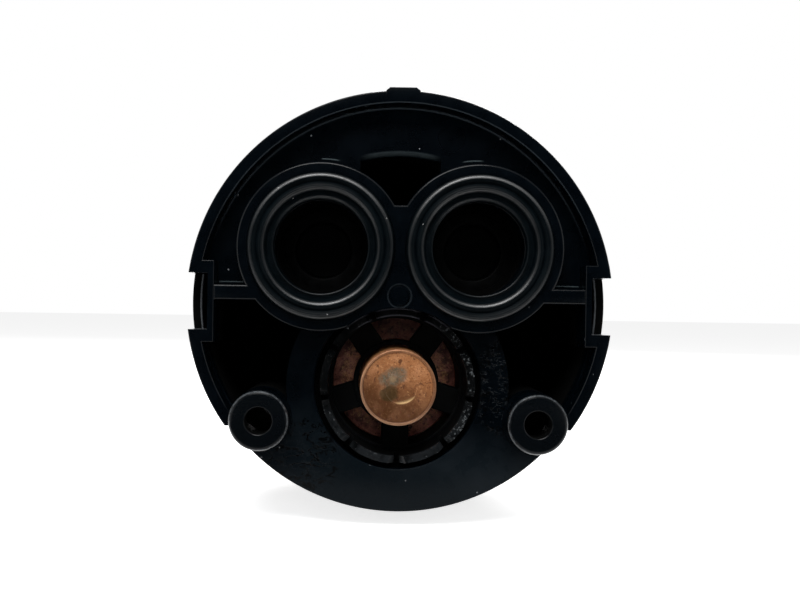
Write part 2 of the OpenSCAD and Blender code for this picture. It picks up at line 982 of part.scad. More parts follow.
module spindle()
    color(brass)
        as_installed()
            on_axis()
                difference() {
                    union() {
                        bar(thread_r, z_spindle, z_thrust_collar + 0.1);
                        bar(thrust_collar_r, z_thrust_collar, z_thrust_collar + thrust_collar_t);
                        bar(shaft_r, z_thrust_collar + 1, z_stop);
                        slab(z_stop - 0.1, z_end)
                            spline_shape(0);
                    }
                    for (z = spindle_grooves)
                        tube(groove_r, shaft_r + eps, z, z + oring_groove_w);
                    tube(shaft_r - 0.8, shaft_r + eps, z_spindle_clip, z_spindle_clip + spindle_clip_t);
                    bar(knob_hole_r, z_end - knob_hole_len, z_end + eps);
                }

module spindle_seals()
    color(rubber)
        as_installed()
            on_axis()
                for (z = spindle_grooves)
                    ring((groove_r + shaft_r) / 2 + ring_gap, spindle_ring_r, z + oring_groove_w / 2);

module thrust_washer()
    color(acetal)
        as_installed()
            on_axis()
                tube(shaft_r + 0.15, thrust_collar_r, z_shoulder - washer_t, z_shoulder);

module spindle_clip()
    color(steel)
        as_installed()
            on_axis()
                slab(z_spindle_clip + 0.02, z_spindle_clip + spindle_clip_t - 0.02)
                    difference() {
                        circle(r = shaft_r + 2.6);
                        circle(r = shaft_r - 0.75);
                        translate([-spindle_clip_gap / 2, -2 * shaft_r - 2])
                            square([spindle_clip_gap, 2 * shaft_r + 2]);
                    }

module stop_ring()
    color(acetal)
        as_installed()
            on_axis()
                slab(z_stop + 0.01, z_stop + stop_t - 0.01)
                    union() {
                        difference() {
                            circle(r = stop_ring_r);
                            spline_shape(0.04);
                        }
                        stop_lug_shape(-90, stop_lug_r, stop_ring_r - 0.4);
                    }

base_housing();
inlet_seals();
outlet_cage();
wax_capsule();
capsule_guide();
capsule_piston();
shuttle();
shuttle_seal();
return_spring();
port_gasket();
valve_body();
seat_plate();
rear_housing();
body_seal();
check_body_hot();
check_body_cold();
check_poppet_hot();
check_poppet_cold();
check_spring_hot();
check_spring_cold();
check_seals();
overload_plunger();
overload_spring();
plunger_clip();
setting_nut();
bonnet();
bonnet_seal();
bonnet_screws();
housing_screws();
spindle();
spindle_seals();
thrust_washer();
spindle_clip();
stop_ring();
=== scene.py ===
from math import atan2, cos, degrees, pi, radians, sin, tan

import bmesh
import bpy
from mathutils import Matrix, Vector


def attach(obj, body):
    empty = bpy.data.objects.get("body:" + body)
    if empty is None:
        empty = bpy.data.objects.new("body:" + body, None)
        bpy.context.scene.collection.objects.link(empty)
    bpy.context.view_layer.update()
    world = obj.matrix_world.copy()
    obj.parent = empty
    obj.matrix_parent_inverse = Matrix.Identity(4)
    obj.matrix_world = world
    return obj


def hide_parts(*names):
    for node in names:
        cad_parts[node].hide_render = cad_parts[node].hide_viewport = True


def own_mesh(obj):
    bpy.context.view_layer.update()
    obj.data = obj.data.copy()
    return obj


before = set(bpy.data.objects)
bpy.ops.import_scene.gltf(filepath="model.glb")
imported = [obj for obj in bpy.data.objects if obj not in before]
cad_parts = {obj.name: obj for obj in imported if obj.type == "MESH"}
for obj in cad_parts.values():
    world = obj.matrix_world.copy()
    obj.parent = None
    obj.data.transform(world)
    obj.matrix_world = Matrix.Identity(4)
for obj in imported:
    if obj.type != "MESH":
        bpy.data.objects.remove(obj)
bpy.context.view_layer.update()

# The studio: a pale floor and a white surround, soft boxes above and at both sides,
# and black cards behind the lens and on the table, which keep the flat faces black.
# The lens looks level at the inlet face from 130 mm, a little left of and below its middle.
FLOOR_Z = -0.0356
LENS_DISTANCE = 0.130
FOCAL_PIXELS = 841.9
FRAME_WIDTH = 800
LENS_OFFSET = (-0.00532, -0.00073)
PART_TURN = radians(-0.85)


def new_object(name, data):
    """A new object in the scene."""
    added = bpy.data.objects.new(name, data)
    bpy.context.collection.objects.link(added)
    return added


camera_data = bpy.data.cameras.new("camera")
camera_data.sensor_width = 36
camera_data.lens = FOCAL_PIXELS / FRAME_WIDTH * camera_data.sensor_width
camera_data.shift_x = 0.04375
camera_data.shift_y = 0.01
camera_data.clip_start = 0.01
camera = new_object("camera", camera_data)
camera.location = (LENS_OFFSET[0], -LENS_DISTANCE, LENS_OFFSET[1])
camera.rotation_euler = (radians(90), PART_TURN, 0)
bpy.context.scene.camera = camera
bpy.context.scene.view_settings.view_transform = "Standard"


def add_node(tree, kind, values, settings):
    """Adds a node to a tree: its settings first, then the values or links of its sockets."""
    added = tree.nodes.new(kind)
    for name, setting in settings.items():
        setattr(added, name, setting)
    for name, value in values.items():
        if isinstance(value, bpy.types.NodeSocket):
            tree.links.new(value, added.inputs[name])
        else:
            added.inputs[name].default_value = value
    return added


def maths(operation):
    """An operator on values that becomes a Math node."""
    def operate(*terms):
        return terms[0].shader.node("Math", dict(enumerate(terms)), operation=operation)
    return operate


class Value:
    """A number inside a material. Sums and products of it become Math nodes."""
    __add__ = __radd__ = maths("ADD")
    __sub__ = maths("SUBTRACT")
    __mul__ = __rmul__ = maths("MULTIPLY")
    __truediv__ = maths("DIVIDE")
    __lt__ = maths("LESS_THAN")
    __abs__ = maths("ABSOLUTE")
    root = maths("SQRT")
    sign = maths("SIGN")

    def __init__(self, shader, socket):
        self.shader = shader
        self.socket = socket

    def __rsub__(self, other):
        return self.shader.node("Math", {0: other, 1: self}, operation="SUBTRACT")

    def squared(self):
        return self * self

    def to(self, low, high, out_low=0.0, out_high=1.0):
        """This number as its way from low to high, smoothed and held at both ends."""
        values = {"Value": self, "From Min": low, "From Max": high, "To Min": out_low, "To Max": out_high}
        return self.shader.node("MapRange", values, interpolation_type="SMOOTHSTEP")

    def within(self, low, start, end, high):
        """1 from start to end, and 0 below low and above high."""
        return self.to(low, start) * self.to(high, end)


class Shader:
    """The node tree of one material, or of the surround."""

    def __init__(self, tree):
        self.tree = tree

    def node(self, kind, values, out=0, **settings):
        values = {name: value.socket if isinstance(value, Value) else value
                  for name, value in values.items()}
        added = add_node(self.tree, "ShaderNode" + kind, values, settings)
        return Value(self, added.outputs[out]) if added.outputs else added


world = bpy.data.worlds.new("surround")
bpy.context.scene.world = world
world.use_nodes = True
world.node_tree.nodes.clear()
surround = Shader(world.node_tree)
SURROUND_LIGHT = 0.2


def seen_directly(shader):
    """1 on the rays that show the background: the camera's, mirrored ones and those through glass."""
    direct, mirrored, through = [shader.node("LightPath", {}, f"Is {kind} Ray")
                                 for kind in ("Camera", "Glossy", "Transmission")]
    return (direct + mirrored + through).to(0, 1)


strength = seen_directly(surround) * (1 - SURROUND_LIGHT) + SURROUND_LIGHT
sky = surround.node("Background", {"Color": (1, 1, 1, 1), "Strength": strength})
surround.node("OutputWorld", {"Surface": sky})


def soft_box(name, place, size, power):
    """A square lamp that faces the part."""
    lamp = bpy.data.lights.new(name, "AREA")
    lamp.shape = "SQUARE"
    lamp.size = size
    lamp.energy = power
    stand = new_object(name, lamp)
    stand.location = place
    aim = Vector((0, 0.03, -0.005)) - Vector(place)
    stand.rotation_euler = aim.to_track_quat("-Z", "Y").to_euler()
    stand.visible_camera = False
    return stand


soft_box("lamp_top_front", (-0.04, -0.25, 0.32), 0.24, 2.2)
soft_box("lamp_left", (-0.36, -0.16, 0.10), 0.22, 0.2)
soft_box("lamp_right", (0.38, -0.10, 0.12), 0.22, 0.2)
soft_box("lamp_top_back", (0.10, 0.38, 0.30), 0.26, 2.6)
soft_box("lamp_by_lens", (0, -0.27, 0.07), 0.10, 0.16).visible_glossy = False


def plain_material(name, colour, roughness, metallic=0.0, **others):
    """A new material, its Shader and its BSDF; others are more sockets, with _ for a space."""
    material = bpy.data.materials.new(name)
    material.use_nodes = True
    bsdf = material.node_tree.nodes["Principled BSDF"]
    looks = {"Base Color": (*colour, 1), "Roughness": roughness, "Metallic": metallic, **others}
    for socket, value in looks.items():
        bsdf.inputs[socket.replace("_", " ")].default_value = value
    return material, Shader(material.node_tree), bsdf


def linked(bsdf, **values):
    """Links values to a BSDF's sockets, which are named with _ for a space."""
    for socket, value in values.items():
        value.shader.tree.links.new(value.socket, bsdf.inputs[socket.replace("_", " ")])


def flat_sheet(name, paint, reach, y0, y1, z0, z1):
    """One sheet of the set, which isn't part of the object. Its reach is half its width."""
    mesh = bpy.data.meshes.new(name)
    mesh.from_pydata([(-reach, y0, z0), (reach, y0, z0), (reach, y1, z1), (-reach, y1, z1)],
                     [], [(0, 1, 2, 3)])
    mesh.materials.append(paint)
    sheet = new_object(name, mesh)
    return sheet


FLOOR_REACH = 3.0
FLOOR_GLOW = 0.72
floor_paint, shader, bsdf = plain_material("floor_paint", (0.9, 0.9, 0.9), 0.9,
                                           Specular_IOR_Level=0.0, Emission_Strength=1.0)
linked(bsdf, Emission_Color=seen_directly(shader) * FLOOR_GLOW)
flat_sheet("floor", floor_paint, FLOOR_REACH, -FLOOR_REACH, FLOOR_REACH, FLOOR_Z, FLOOR_Z)

CARD_Y = -0.30
TABLE_CARD_Z = FLOOR_Z + 0.0005
card_paint = plain_material("card_paint", (0.004, 0.004, 0.005), 0.9, Specular_IOR_Level=0.0)[0]
card = flat_sheet("lens_card", card_paint, 0.25, CARD_Y, CARD_Y, -0.03, 0.24)
card.visible_camera = False
flag = flat_sheet("table_card", card_paint, 0.10, CARD_Y, -0.02, TABLE_CARD_Z, TABLE_CARD_Z)
flag.visible_camera = False
flag.visible_diffuse = False
flag.visible_shadow = False


# The base housing: black glass-filled nylon, moulded in one piece. Its front holds the
# rim, the raised figure-8 face around both inlets, the wet land around the outlet, two
# deep core-outs and the fixing bosses. Sizes here are millimetres, x right, y down and
# z back from the rim's front edge; dress() turns each finished piece to the CAD's frame.
RIM_R = 33.0
WALL_INNER_R = 31.1
FLOOR = 3.6
FLANGE_BACK = 5.2
SEAT = 22.0
PAST_SEAT = SEAT + 1
THROUGH = (-2, 30)
POCKET_R = 30.9
POCKET_FOOT = 16.2
MIDDLE_HALF = 10.6
TOP_POCKET_R = 24.3
TOP_STEP_R = 23.4
NOTCH_X = 29.7
NOTCH_H = 8.8
NOTCH_BACK_X = 28.7
NOTCH_BACK_H = 12.7
INLET = (12.3, -8.7)
INLET_R = 7.3
SEAL_SEAT_R = 11.55
SEAL_SEAT = 1.6
WAY_STOP_R = 6.4
WAY_STOP = (8, 9)
COLLAR_R = 13.15
BOSS = (21.4, 18.21)
BOSS_R = 4.7
BOSS_FRONT = -1.6
FIX_HOLE_R = 2.1
AXIS_Y = 13.0
AXIS = (0, AXIS_Y)
OUTLET_R = 12.4
RECESS_R = 13.25
THROAT_R = 11.9
CAGE_END = 17.5
SPIGOT_R = 31.4
SCREW_WAY_R = 1.52
LONG_SCREWS = (3, 28.0, -145, 55)
TO_CAD = Matrix.Rotation(-pi / 2, 4, "X") @ Matrix.Scale(0.001, 4)


def rounded(corners, closed=True, steps=6):
    """The points of a path whose corners (x, y, radius) are rounded off."""
    path = []
    for i, corner in enumerate(corners):
        here = Vector(corner[:2])
        radius = corner[2] if len(corner) > 2 else 0
        if not radius or (not closed and i in (0, len(corners) - 1)):
            path.append(here)
            continue
        before = (Vector(corners[i - 1][:2]) - here).normalized()
        after = (Vector(corners[(i + 1) % len(corners)][:2]) - here).normalized()
        half = before.angle(after) / 2
        middle = here + (before + after).normalized() * (radius / sin(half))
        start = here + before * (radius / tan(half)) - middle
        end = here + after * (radius / tan(half)) - middle
        angle = atan2(start.y, start.x)
        turn = (atan2(end.y, end.x) - angle + pi) % (2 * pi) - pi
        for k in range(steps + 1):
            a = angle + turn * k / steps
            path.append(middle + Vector((cos(a), sin(a))) * radius)
    return path


def new_piece(name, bm):
    """A mesh object from a bmesh, with its faces turned outwards."""
    bmesh.ops.recalc_face_normals(bm, faces=bm.faces)
    mesh = bpy.data.meshes.new(name)
    bm.to_mesh(mesh)
    bm.free()
    return new_object(name, mesh)


def lathe(profile, centre=(0, 0), steps=144):
    """Turns a profile of (radius, depth) about an axis. One that starts and ends on the
    axis gives a solid of revolution, and any other one is closed to a ring."""
    bm = bmesh.new()
    rows = []
    for r, z in profile:
        spots = range(1) if r < 1e-6 else range(steps)
        rows.append([bm.verts.new((centre[0] + r * cos(2 * pi * k / steps),
                                   centre[1] + r * sin(2 * pi * k / steps), z)) for k in spots])
    pairs = list(zip(rows, rows[1:]))
    if profile[0][0] > 1e-6:
        pairs.append((rows[-1], rows[0]))
    for row, other in pairs:
        for k in range(steps):
            around = [row[k % len(row)], row[(k + 1) % len(row)],
                      other[(k + 1) % len(other)], other[k % len(other)]]
            corners = list(dict.fromkeys(around))
            if len(corners) > 2:
                bm.faces.new(corners)
    return new_piece("turned", bm)


def turned(corners, centre=(0, 0), steps=144, fineness=6):
    """A lathe piece from corners (radius, depth, rounding); each rounding has fineness steps."""
    return lathe(rounded(corners, corners[0][0] > 0, fineness), centre, steps)


def moved_in(path, inset):
    """A counter-clockwise path moved inwards, with its corners kept."""
    moved = []
    for i, here in enumerate(path):
        before = (here - path[i - 1]).normalized()
        after = (path[(i + 1) % len(path)] - here).normalized()
        normals = Vector((-before.y - after.y, before.x + after.x))
        moved.append(here + normals * (inset / (1 + before.dot(after))))
    return moved


def prism(outline, front, back, soft=0.0, steps=4):
    """A block with a flat outline between two depths, with a rounded front edge."""
    path = [Vector(point[:2]) for point in outline]
    area = sum(path[i - 1].x * p.y - p.x * path[i - 1].y for i, p in enumerate(path))
    if area < 0:
        path.reverse()
    levels = [(soft * (1 - sin(a)), front + soft * (1 - cos(a)))
              for a in (pi / 2 * k / steps for k in range(steps + 1))] if soft else [(0, front)]
    bm = bmesh.new()
    rows = [[bm.verts.new((p.x, p.y, z)) for p in moved_in(path, inset)]
            for inset, z in levels + [(0, back)]]
    for row, other in zip(rows, rows[1:]):
        for k in range(len(row)):
            after = (k + 1) % len(row)
            bm.faces.new([row[k], row[after], other[after], other[k]])
    bm.faces.new(rows[0])
    bm.faces.new(rows[-1])
    return new_piece("block", bm)


def box(x0, x1, y0, y1, z0, z1, soft=0.0):
    """A block with square sides, mostly for cutting."""
    return prism([(x0, y0), (x1, y0), (x1, y1), (x0, y1)], z0, z1, soft)


def cylinder(radius, front, back, centre=(0, 0), steps=192):
    """A plain round bar, for cutting and for inner cores."""
    return lathe([(0, front), (radius, front), (radius, back), (0, back)], centre, steps)


def ring(inner, outer, front, back, soft=0.0, steps=112):
    """A ring around the thermostat axis, with square or rounded corners."""
    return turned([(inner, front, soft), (outer, front, soft), (outer, back, soft),
                   (inner, back, soft)], AXIS, steps)


def fitted(body, joined=(), kept=(), cut=()):
    """A body with pieces joined to it, trimmed to what lies in others, and cut by others."""
    for operation, tools in (("UNION", joined), ("INTERSECT", kept), ("DIFFERENCE", cut)):
        for tool in tools:
            step = body.modifiers.new(operation, "BOOLEAN")
            step.solver = "MANIFOLD"
            step.operation = operation
            step.object = tool
    graph = bpy.context.evaluated_depsgraph_get()
    mesh = bpy.data.meshes.new_from_object(body.evaluated_get(graph))
    body.modifiers.clear()
    body.data = mesh
    for tool in (*joined, *kept, *cut):
        bpy.data.objects.remove(tool)
    return body


def dress(piece, name, body, slot, material, *nodes, crease=14):
    """Finishes a piece: its place, finish, body and the CAD nodes it stands for. Its slot is not used."""
    piece.name = name
    piece.data.transform(TO_CAD)
    piece.data.materials.clear()
    piece.data.materials.append(material)
    for face in piece.data.polygons:
        face.material_index = 0
    piece.data.shade_smooth()
    piece.data.set_sharp_from_angle(angle=radians(crease))
    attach(piece, body)
    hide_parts(*nodes)


def arc(radius, start, end, centre=(0, 0), steps=24):
    """Points of a circle between two angles in degrees."""
    angles = [radians(start + (end - start) * k / steps) for k in range(steps + 1)]
    return [(centre[0] + radius * cos(a), centre[1] + radius * sin(a)) for a in angles]


def spots_of(count, radius, first, step, centre=(0, 0)):
    """The places of a row of like features; angles in degrees."""
    return arc(radius, first, first + step * (count - 1), centre, count - 1)


def inlet_at(side):
    return (side * INLET[0], INLET[1])


def boss_at(side):
    return (side * BOSS[0], BOSS[1])


def collar(side, front, back, soft):
    return turned([(0, front), (COLLAR_R, front, soft), (COLLAR_R, back), (0, back)], inlet_at(side), 192)


def wing(side, front, back, soft):
    corners = [(17.3, -2.65), (28.9, -2.65), (28.9, -0.25), (22.0, -0.25, 0.8),
               (20.6, 1.5), (17.3, 1.5)]
    return prism(rounded([(side * c[0], *c[1:]) for c in corners]), front, back, soft)


def web(front, back, soft):
    corners = [(-8, -15.3, 1.2), (8, -15.3, 1.2), (8, 3.3, 0.6), (-8, 3.3, 0.6)]
    return prism(rounded(corners), front, back, soft)


def notch_back(side, front, back, soft=0.25):
    half = NOTCH_BACK_H / 2
    reach = degrees(atan2(half, (RIM_R ** 2 - half ** 2) ** 0.5))
    outline = arc(RIM_R, -reach, reach, steps=32) + [(NOTCH_BACK_X, half), (NOTCH_BACK_X, -half)]
    return prism([(side * x, y) for x, y in outline], front, back, soft)


def face_parts(front, back, soft):
    """The raised face: two collars, the web between them and the two side wings."""
    sides = [make(side, front, back, soft) for make in (collar, wing) for side in (-1, 1)]
    return sides + [web(front, back, soft)]


flange = turned([(0, FLOOR), (RIM_R, FLOOR, 0.25), (RIM_R, FLANGE_BACK, 0.1), (0, FLANGE_BACK)], steps=256)
spigot = cylinder(SPIGOT_R, FLANGE_BACK - 0.1, SEAT)
rim = turned([(WALL_INNER_R, 0, 0.3), (RIM_R, 0, 0.3), (RIM_R, FLOOR + 0.1),
              (WALL_INNER_R, FLOOR + 0.1)], steps=256)
rim = fitted(rim, kept=[box(-50, 50, -50, BOSS[1] + 1, -5, 10)])
bosses = [turned([(0, BOSS_FRONT), (BOSS_R, BOSS_FRONT, 0.8), (BOSS_R, FLANGE_BACK - 0.05),
                  (0, FLANGE_BACK - 0.05)], boss_at(side), 112) for side in (-1, 1)]
tab = prism([(-2.5, -RIM_R + 1), (2.8, -RIM_R + 1), (2.8, -RIM_R), (2.2, -RIM_R - 0.48),
             (-1.9, -RIM_R - 0.48), (-2.5, -RIM_R)], 0, FLANGE_BACK - 0.05, 0.15)

side_pocket = fitted(cylinder(POCKET_R, -1, SEAT - 2.5), kept=[
    box(-50, 50, -0.25, POCKET_FOOT, *THROUGH)], cut=[
    box(-MIDDLE_HALF, MIDDLE_HALF, -50, 50, *THROUGH),
    cylinder(RECESS_R + 4.4, *THROUGH, AXIS, 160),
    *face_parts(*THROUGH, 0),
    *[notch_back(side, *THROUGH, 0) for side in (-1, 1)],
    *[cylinder(BOSS_R, *THROUGH, boss_at(side), 112) for side in (-1, 1)],
])
top_pocket = turned([(0, -1), (TOP_POCKET_R, -1), (TOP_POCKET_R, FLOOR), (TOP_STEP_R, FLOOR + 0.02, 0.8),
                     (TOP_STEP_R, SEAT - 6), (0, SEAT - 6)], steps=256)
top_pocket = fitted(top_pocket, kept=[box(-6.4, 6.4, -25, -14, *THROUGH)], cut=face_parts(*THROUGH, 0))


def inlet_way(side):
    return lathe([(0, -1), (SEAL_SEAT_R, -1), (SEAL_SEAT_R, SEAL_SEAT), (INLET_R + 0.15, SEAL_SEAT),
                  (INLET_R, SEAL_SEAT + 0.15), (INLET_R, WAY_STOP[0]), (WAY_STOP_R, WAY_STOP[0]),
                  (WAY_STOP_R, WAY_STOP[1]), (INLET_R, WAY_STOP[1]), (INLET_R, PAST_SEAT),
                  (0, PAST_SEAT)], inlet_at(side), 160)


outlet_way = lathe([(0, -1), (OUTLET_R, -1), (OUTLET_R, FLOOR), (RECESS_R, FLOOR), (RECESS_R, 7.1),
                    (OUTLET_R, 7.1), (OUTLET_R, CAGE_END), (THROAT_R, CAGE_END), (THROAT_R, PAST_SEAT),
                    (0, PAST_SEAT)], AXIS, 192)
recess_edge = lathe([(RECESS_R - 0.1, FLOOR - 0.02), (RECESS_R + 0.22, FLOOR - 0.02),
                     (RECESS_R - 0.1, FLOOR + 0.3)], AXIS, 192)
fix_holes = [lathe([(0, -3), (2.3, -3), (2.3, BOSS_FRONT - 0.05), (2.24, BOSS_FRONT + 0.02),
                    (2.15, BOSS_FRONT + 0.08), (FIX_HOLE_R, BOSS_FRONT + 0.25), (FIX_HOLE_R, PAST_SEAT),
                    (0, PAST_SEAT)], boss_at(side), 72) for side in (-1, 1)]
screw_ways = [cylinder(SCREW_WAY_R, SEAT / 2, PAST_SEAT, spot, 48) for spot in spots_of(*LONG_SCREWS)]
pin_mark = lathe([(1.3, -0.1), (1.98, -0.1), (1.8, 0.2), (1.5, 0.2)], (0, -1.2), 72)
ejector_mark = lathe([(0, 3.4), (2.15, 3.4), (2.05, 3.78), (0, 3.78)], (8, -26.2), 72)

base = fitted(flange, joined=[spigot, rim, *[notch_back(side, 0, FLOOR + 0.1) for side in (-1, 1)],
                              *face_parts(0, FLOOR + 0.1, 0.45), *bosses, tab],
              cut=[side_pocket, top_pocket, inlet_way(-1), inlet_way(1), outlet_way, recess_edge,
                   *[box(*sorted((side * NOTCH_X, side * 40)), -NOTCH_H / 2, NOTCH_H / 2, -2, 9.2)
                     for side in (-1, 1)],
                   *fix_holes, *screw_ways, pin_mark, ejector_mark])


def noise(place, scale, detail=3, roughness=0.5, distortion=0.0):
    """Noise that reads a place; scale counts its cells in one unit of that place."""
    return place.shader.node("TexNoise", {"Vector": place, "Scale": scale, "Detail": detail,
                                          "Roughness": roughness, "Distortion": distortion}, "Fac")


def place_on(shader, by, operation="ADD"):
    """The place on a piece, in metres, moved or stretched by a vector."""
    place = shader.node("TexCoord", {}, "Object")
    return shader.node("VectorMath", {0: place, 1: by}, operation=operation)


def grain(shader, scale, detail=3, roughness=0.55, seed=0.0):
    """Even noise over a piece; scale counts its cells in a metre."""
    return noise(place_on(shader, (seed, seed, seed)), scale, detail, roughness)


def places(shader):
    """The place on a piece across, back and up, in millimetres."""
    place = shader.node("TexCoord", {}, "Object")
    return [shader.node("SeparateXYZ", {0: place}, axis) * 1000 for axis in "XYZ"]


def distance(a, b):
    return (a.squared() + b.squared()).root()


def blended(share, first, second):
    """A colour between two others."""
    first, second = [colour if isinstance(colour, Value) else (*colour, 1) for colour in (first, second)]
    return share.shader.node("Mix", {0: share, 6: first, 7: second}, 2, data_type="RGBA")


def layered(colour, *coats):
    """A colour with others laid over it, each by its share."""
    for share, coat in coats:
        colour = blended(share, colour, coat)
    return colour


def surface(bsdf, colour, roughness, height, depth, **others):
    """Links the looks of a surface and its small relief, depth metres high."""
    bump = height.shader.node("Bump", {"Height": height, "Distance": depth, "Strength": 1.0})
    linked(bsdf, Base_Color=colour, Roughness=roughness, Normal=bump, **others)


def specks(shader, scale, size, share):
    """Scattered dust: small round dots on a share of the cells of a pattern."""
    place = shader.node("TexCoord", {}, "Object")
    cells, lots = [shader.node("TexVoronoi", {"Vector": place, "Scale": scale}, out)
                   for out in ("Distance", "Color")]
    return (cells < size) * (shader.node("SeparateColor", {0: lots}) < share)


# The material of the base: masks by place first, in millimetres, then its colours in
# layers. Lime cracks lie in two patches of the land below the outlet, and the wet glints
# there are painted into the colour as light flecks, on top of their coat and relief.
moulded_black, shader, bsdf = plain_material("moulded_black", (0.001, 0.0015, 0.002), 0.3,
                                             Specular_IOR_Level=0.06, Coat_Roughness=0.2)
across, depth, height = places(shader)
aside = abs(across)
on_land = depth.within(3.3, 3.45, 3.75, 3.9) * height.to(-1.0, -6.0)
on_edges = depth.within(0.01, 0.06, 0.4, 0.6)
on_bosses = depth.to(-0.3, -0.6)
on_wall = depth.within(0.6, 1.2, 3.2, 3.5)
# Painted shade: the base deeper than the land is painted nearly black and made rougher.
shaded_depths = depth.to(4.4, 6.5)
at_top = depth.to(3.2, 3.35) * height.to(20, 21)
cloud = grain(shader, 260, 4)
fine = grain(shader, 5200, 2)
from_middle = distance(across, height)
# Painted highlights, not rubbing: light lines along the rim's inner front edge and along the foot of its
# inner wall, on the upper part of the rim only.
painted_rim_lines = depth.to(0.3, 0.1) * from_middle.within(31.0, 31.06, 31.2, 31.3)
painted_rim_lines = (painted_rim_lines + depth.to(3.3, 3.5) * from_middle.within(30.8, 30.95, 31.1, 31.2)) * height.to(8, 20)
# A painted highlight: a faint light arc along the upper edge of the top pocket.
pocket_highlight_arc = from_middle.within(TOP_STEP_R, 23.7, 24.1, 24.4) * at_top * aside.to(6.8, 4)
from_collar = distance(aside - INLET[0], height + INLET[1])
# Painted highlights: short light arcs just outside the tops of the collars, as a second edge line.
collar_highlight_ticks = abs(from_collar - 14.15).to(0.13, 0.06) * at_top
collar_highlight_ticks = collar_highlight_ticks * (across.within(-12.6, -12.4, -10.4, -9.4) + across.within(9.6, 10.6, 12.4, 13.4))
# Grain that breaks up the painted highlight on the boss rims.
highlight_breaks = grain(shader, 1700, 2, 0.6, 0.37)
# A painted highlight: a light line just above each wing's upper edge, on the deeper face behind it.
wing_highlights = abs(height - 3.15).to(0.12, 0.05) * depth.within(0.6, 0.8, 8, 9)
wing_highlights = wing_highlights * aside.within(24, 24.4, 28.3, 28.7)
from_boss = distance(aside - BOSS[0], height + BOSS[1])
# Painted shade: the bores of the fixing holes are painted nearly black, rougher and without coat.
shaded_holes = from_boss.to(2.36, 2.28) * depth.to(-1.55, -1.48)
# A painted highlight, not burrs: a light ring near the outer edge of each boss face, broken up by grain and
# stronger towards the top of the boss.
painted_boss_rims = from_boss.within(BOSS_R - 0.42, BOSS_R - 0.3, BOSS_R - 0.18, BOSS_R - 0.1)
painted_boss_rims = painted_boss_rims * on_bosses * (highlight_breaks.to(0.35, 0.65) + (height + BOSS[1]).to(1, 4) * 0.4)
boss_edges = depth.within(-1.4, -1.25, -0.9, -0.7) * from_boss.to(3.5, 4)
left_patch = ((across + 15).squared() + (height + 25).squared() * 0.8).to(50, 6)
right_patch = ((across - 16.2).squared() * 1.3 + (height + 13).squared() * 0.35).to(30, 4)
patches = left_patch + right_patch * 0.8
stretched = place_on(shader, (0.55, 1.0, 1.0), "MULTIPLY")
waves = noise(stretched, 520, 3, 0.6, 0.6)
cracks = abs(waves - 0.47).to(0.03, 0.015) * on_land * (patches * 1.6 + 0.08)
ripples = noise(stretched, 1300, 3, 0.6)
# Painted highlights: wet glints in the two patches, laid into the colour as light flecks.
glints = abs(ripples - 0.57).to(0.014, 0.002) * on_land * (patches - left_patch * 0.8)
# A painted highlight: a thin light ring on the outer wall of the small pin mark.
pin_ring_highlight = distance(across, height - 1.2).within(1.68, 1.76, 1.9, 2.0) * depth.to(0.3, 0.2)
# A painted highlight: a thin light line along the lower edge of each notch.
notch_highlight = aside.to(NOTCH_X + 0.1, NOTCH_X + 0.3) * depth.to(0.05, 0.3)
notch_highlight = notch_highlight * abs(height + NOTCH_H / 2).to(0.08, 0.04)
dust = specks(shader, 700, 0.09, 0.07)
# The land is painted lighter below the outlet and darker again towards its lower left.
land = blended(cloud.to(0.3, 0.7), (0.0031, 0.0052, 0.007), (0.0056, 0.0079, 0.0102))
land = blended((height + across * 0.4).to(-20, -30), land, (0.0017, 0.0033, 0.0047))
tone = layered(
    blended(cloud.to(0.35, 0.7), (0.0001, 0.0007, 0.0014), (0.0003, 0.0012, 0.0022)),
    (on_bosses, (0.0009, 0.0016, 0.0023)),
    (on_land * (height + across * 0.15).to(-15.5, -25), land),
    (notch_highlight * 0.8, (0.07, 0.075, 0.08)),
    (cracks.to(0.15, 0.8) * 0.9, (0.0002, 0.0003, 0.0004)),
    (glints * 0.4, (0.055, 0.062, 0.068)),
    (painted_boss_rims * 0.5, (0.07, 0.078, 0.085)),
    (painted_rim_lines * 0.8 + pin_ring_highlight * 0.32, (0.022, 0.028, 0.033)),
    ((shaded_depths + shaded_holes).to(0, 1), (0.0001, 0.0002, 0.0002)),
    (wing_highlights * 0.7 + pocket_highlight_arc * 0.22 + collar_highlight_ticks * 0.8, (0.05, 0.065, 0.07)),
    (dust * 0.5 * (1 - shaded_depths), (0.2, 0.21, 0.22)))
surface(bsdf, tone, cloud.to(0.3, 0.7, 0.26, 0.31) + dust * 0.3 + (shaded_depths + shaded_holes) * 0.6,
        fine * 0.12 + cloud * 0.12 - cracks * 0.15 + glints * 0.5, 0.00006,
        Coat_Weight=on_edges * 0.2 + on_wall * (0.5 - on_land * 0.35) + boss_edges * 0.8
        + on_bosses * (1 - shaded_holes) * 0.1 + glints * 0.2)
dress(base, "base_front", "housing", "base_plastic", moulded_black, "base_housing")


# Two inlet seals: black rubber rings with two rounded beads each, pressed into the seats
# around the inlets, where they seal on the faces of the mixer's two outlets.
SEAL_R = 11.5
BEAD_FRONT = -1.2
BEAD_SECTION_R = 0.55
INNER_BEAD = 9.2
OUTER_BEAD = 10.7


def bead(middle, first, last):
    """The rounded crest of a bead, between two angles from its outer side."""
    return [(middle + BEAD_SECTION_R * cos(radians(a)),
             BEAD_FRONT + BEAD_SECTION_R * (1 - sin(radians(a)))) for a in range(first, last - 1, -5)]


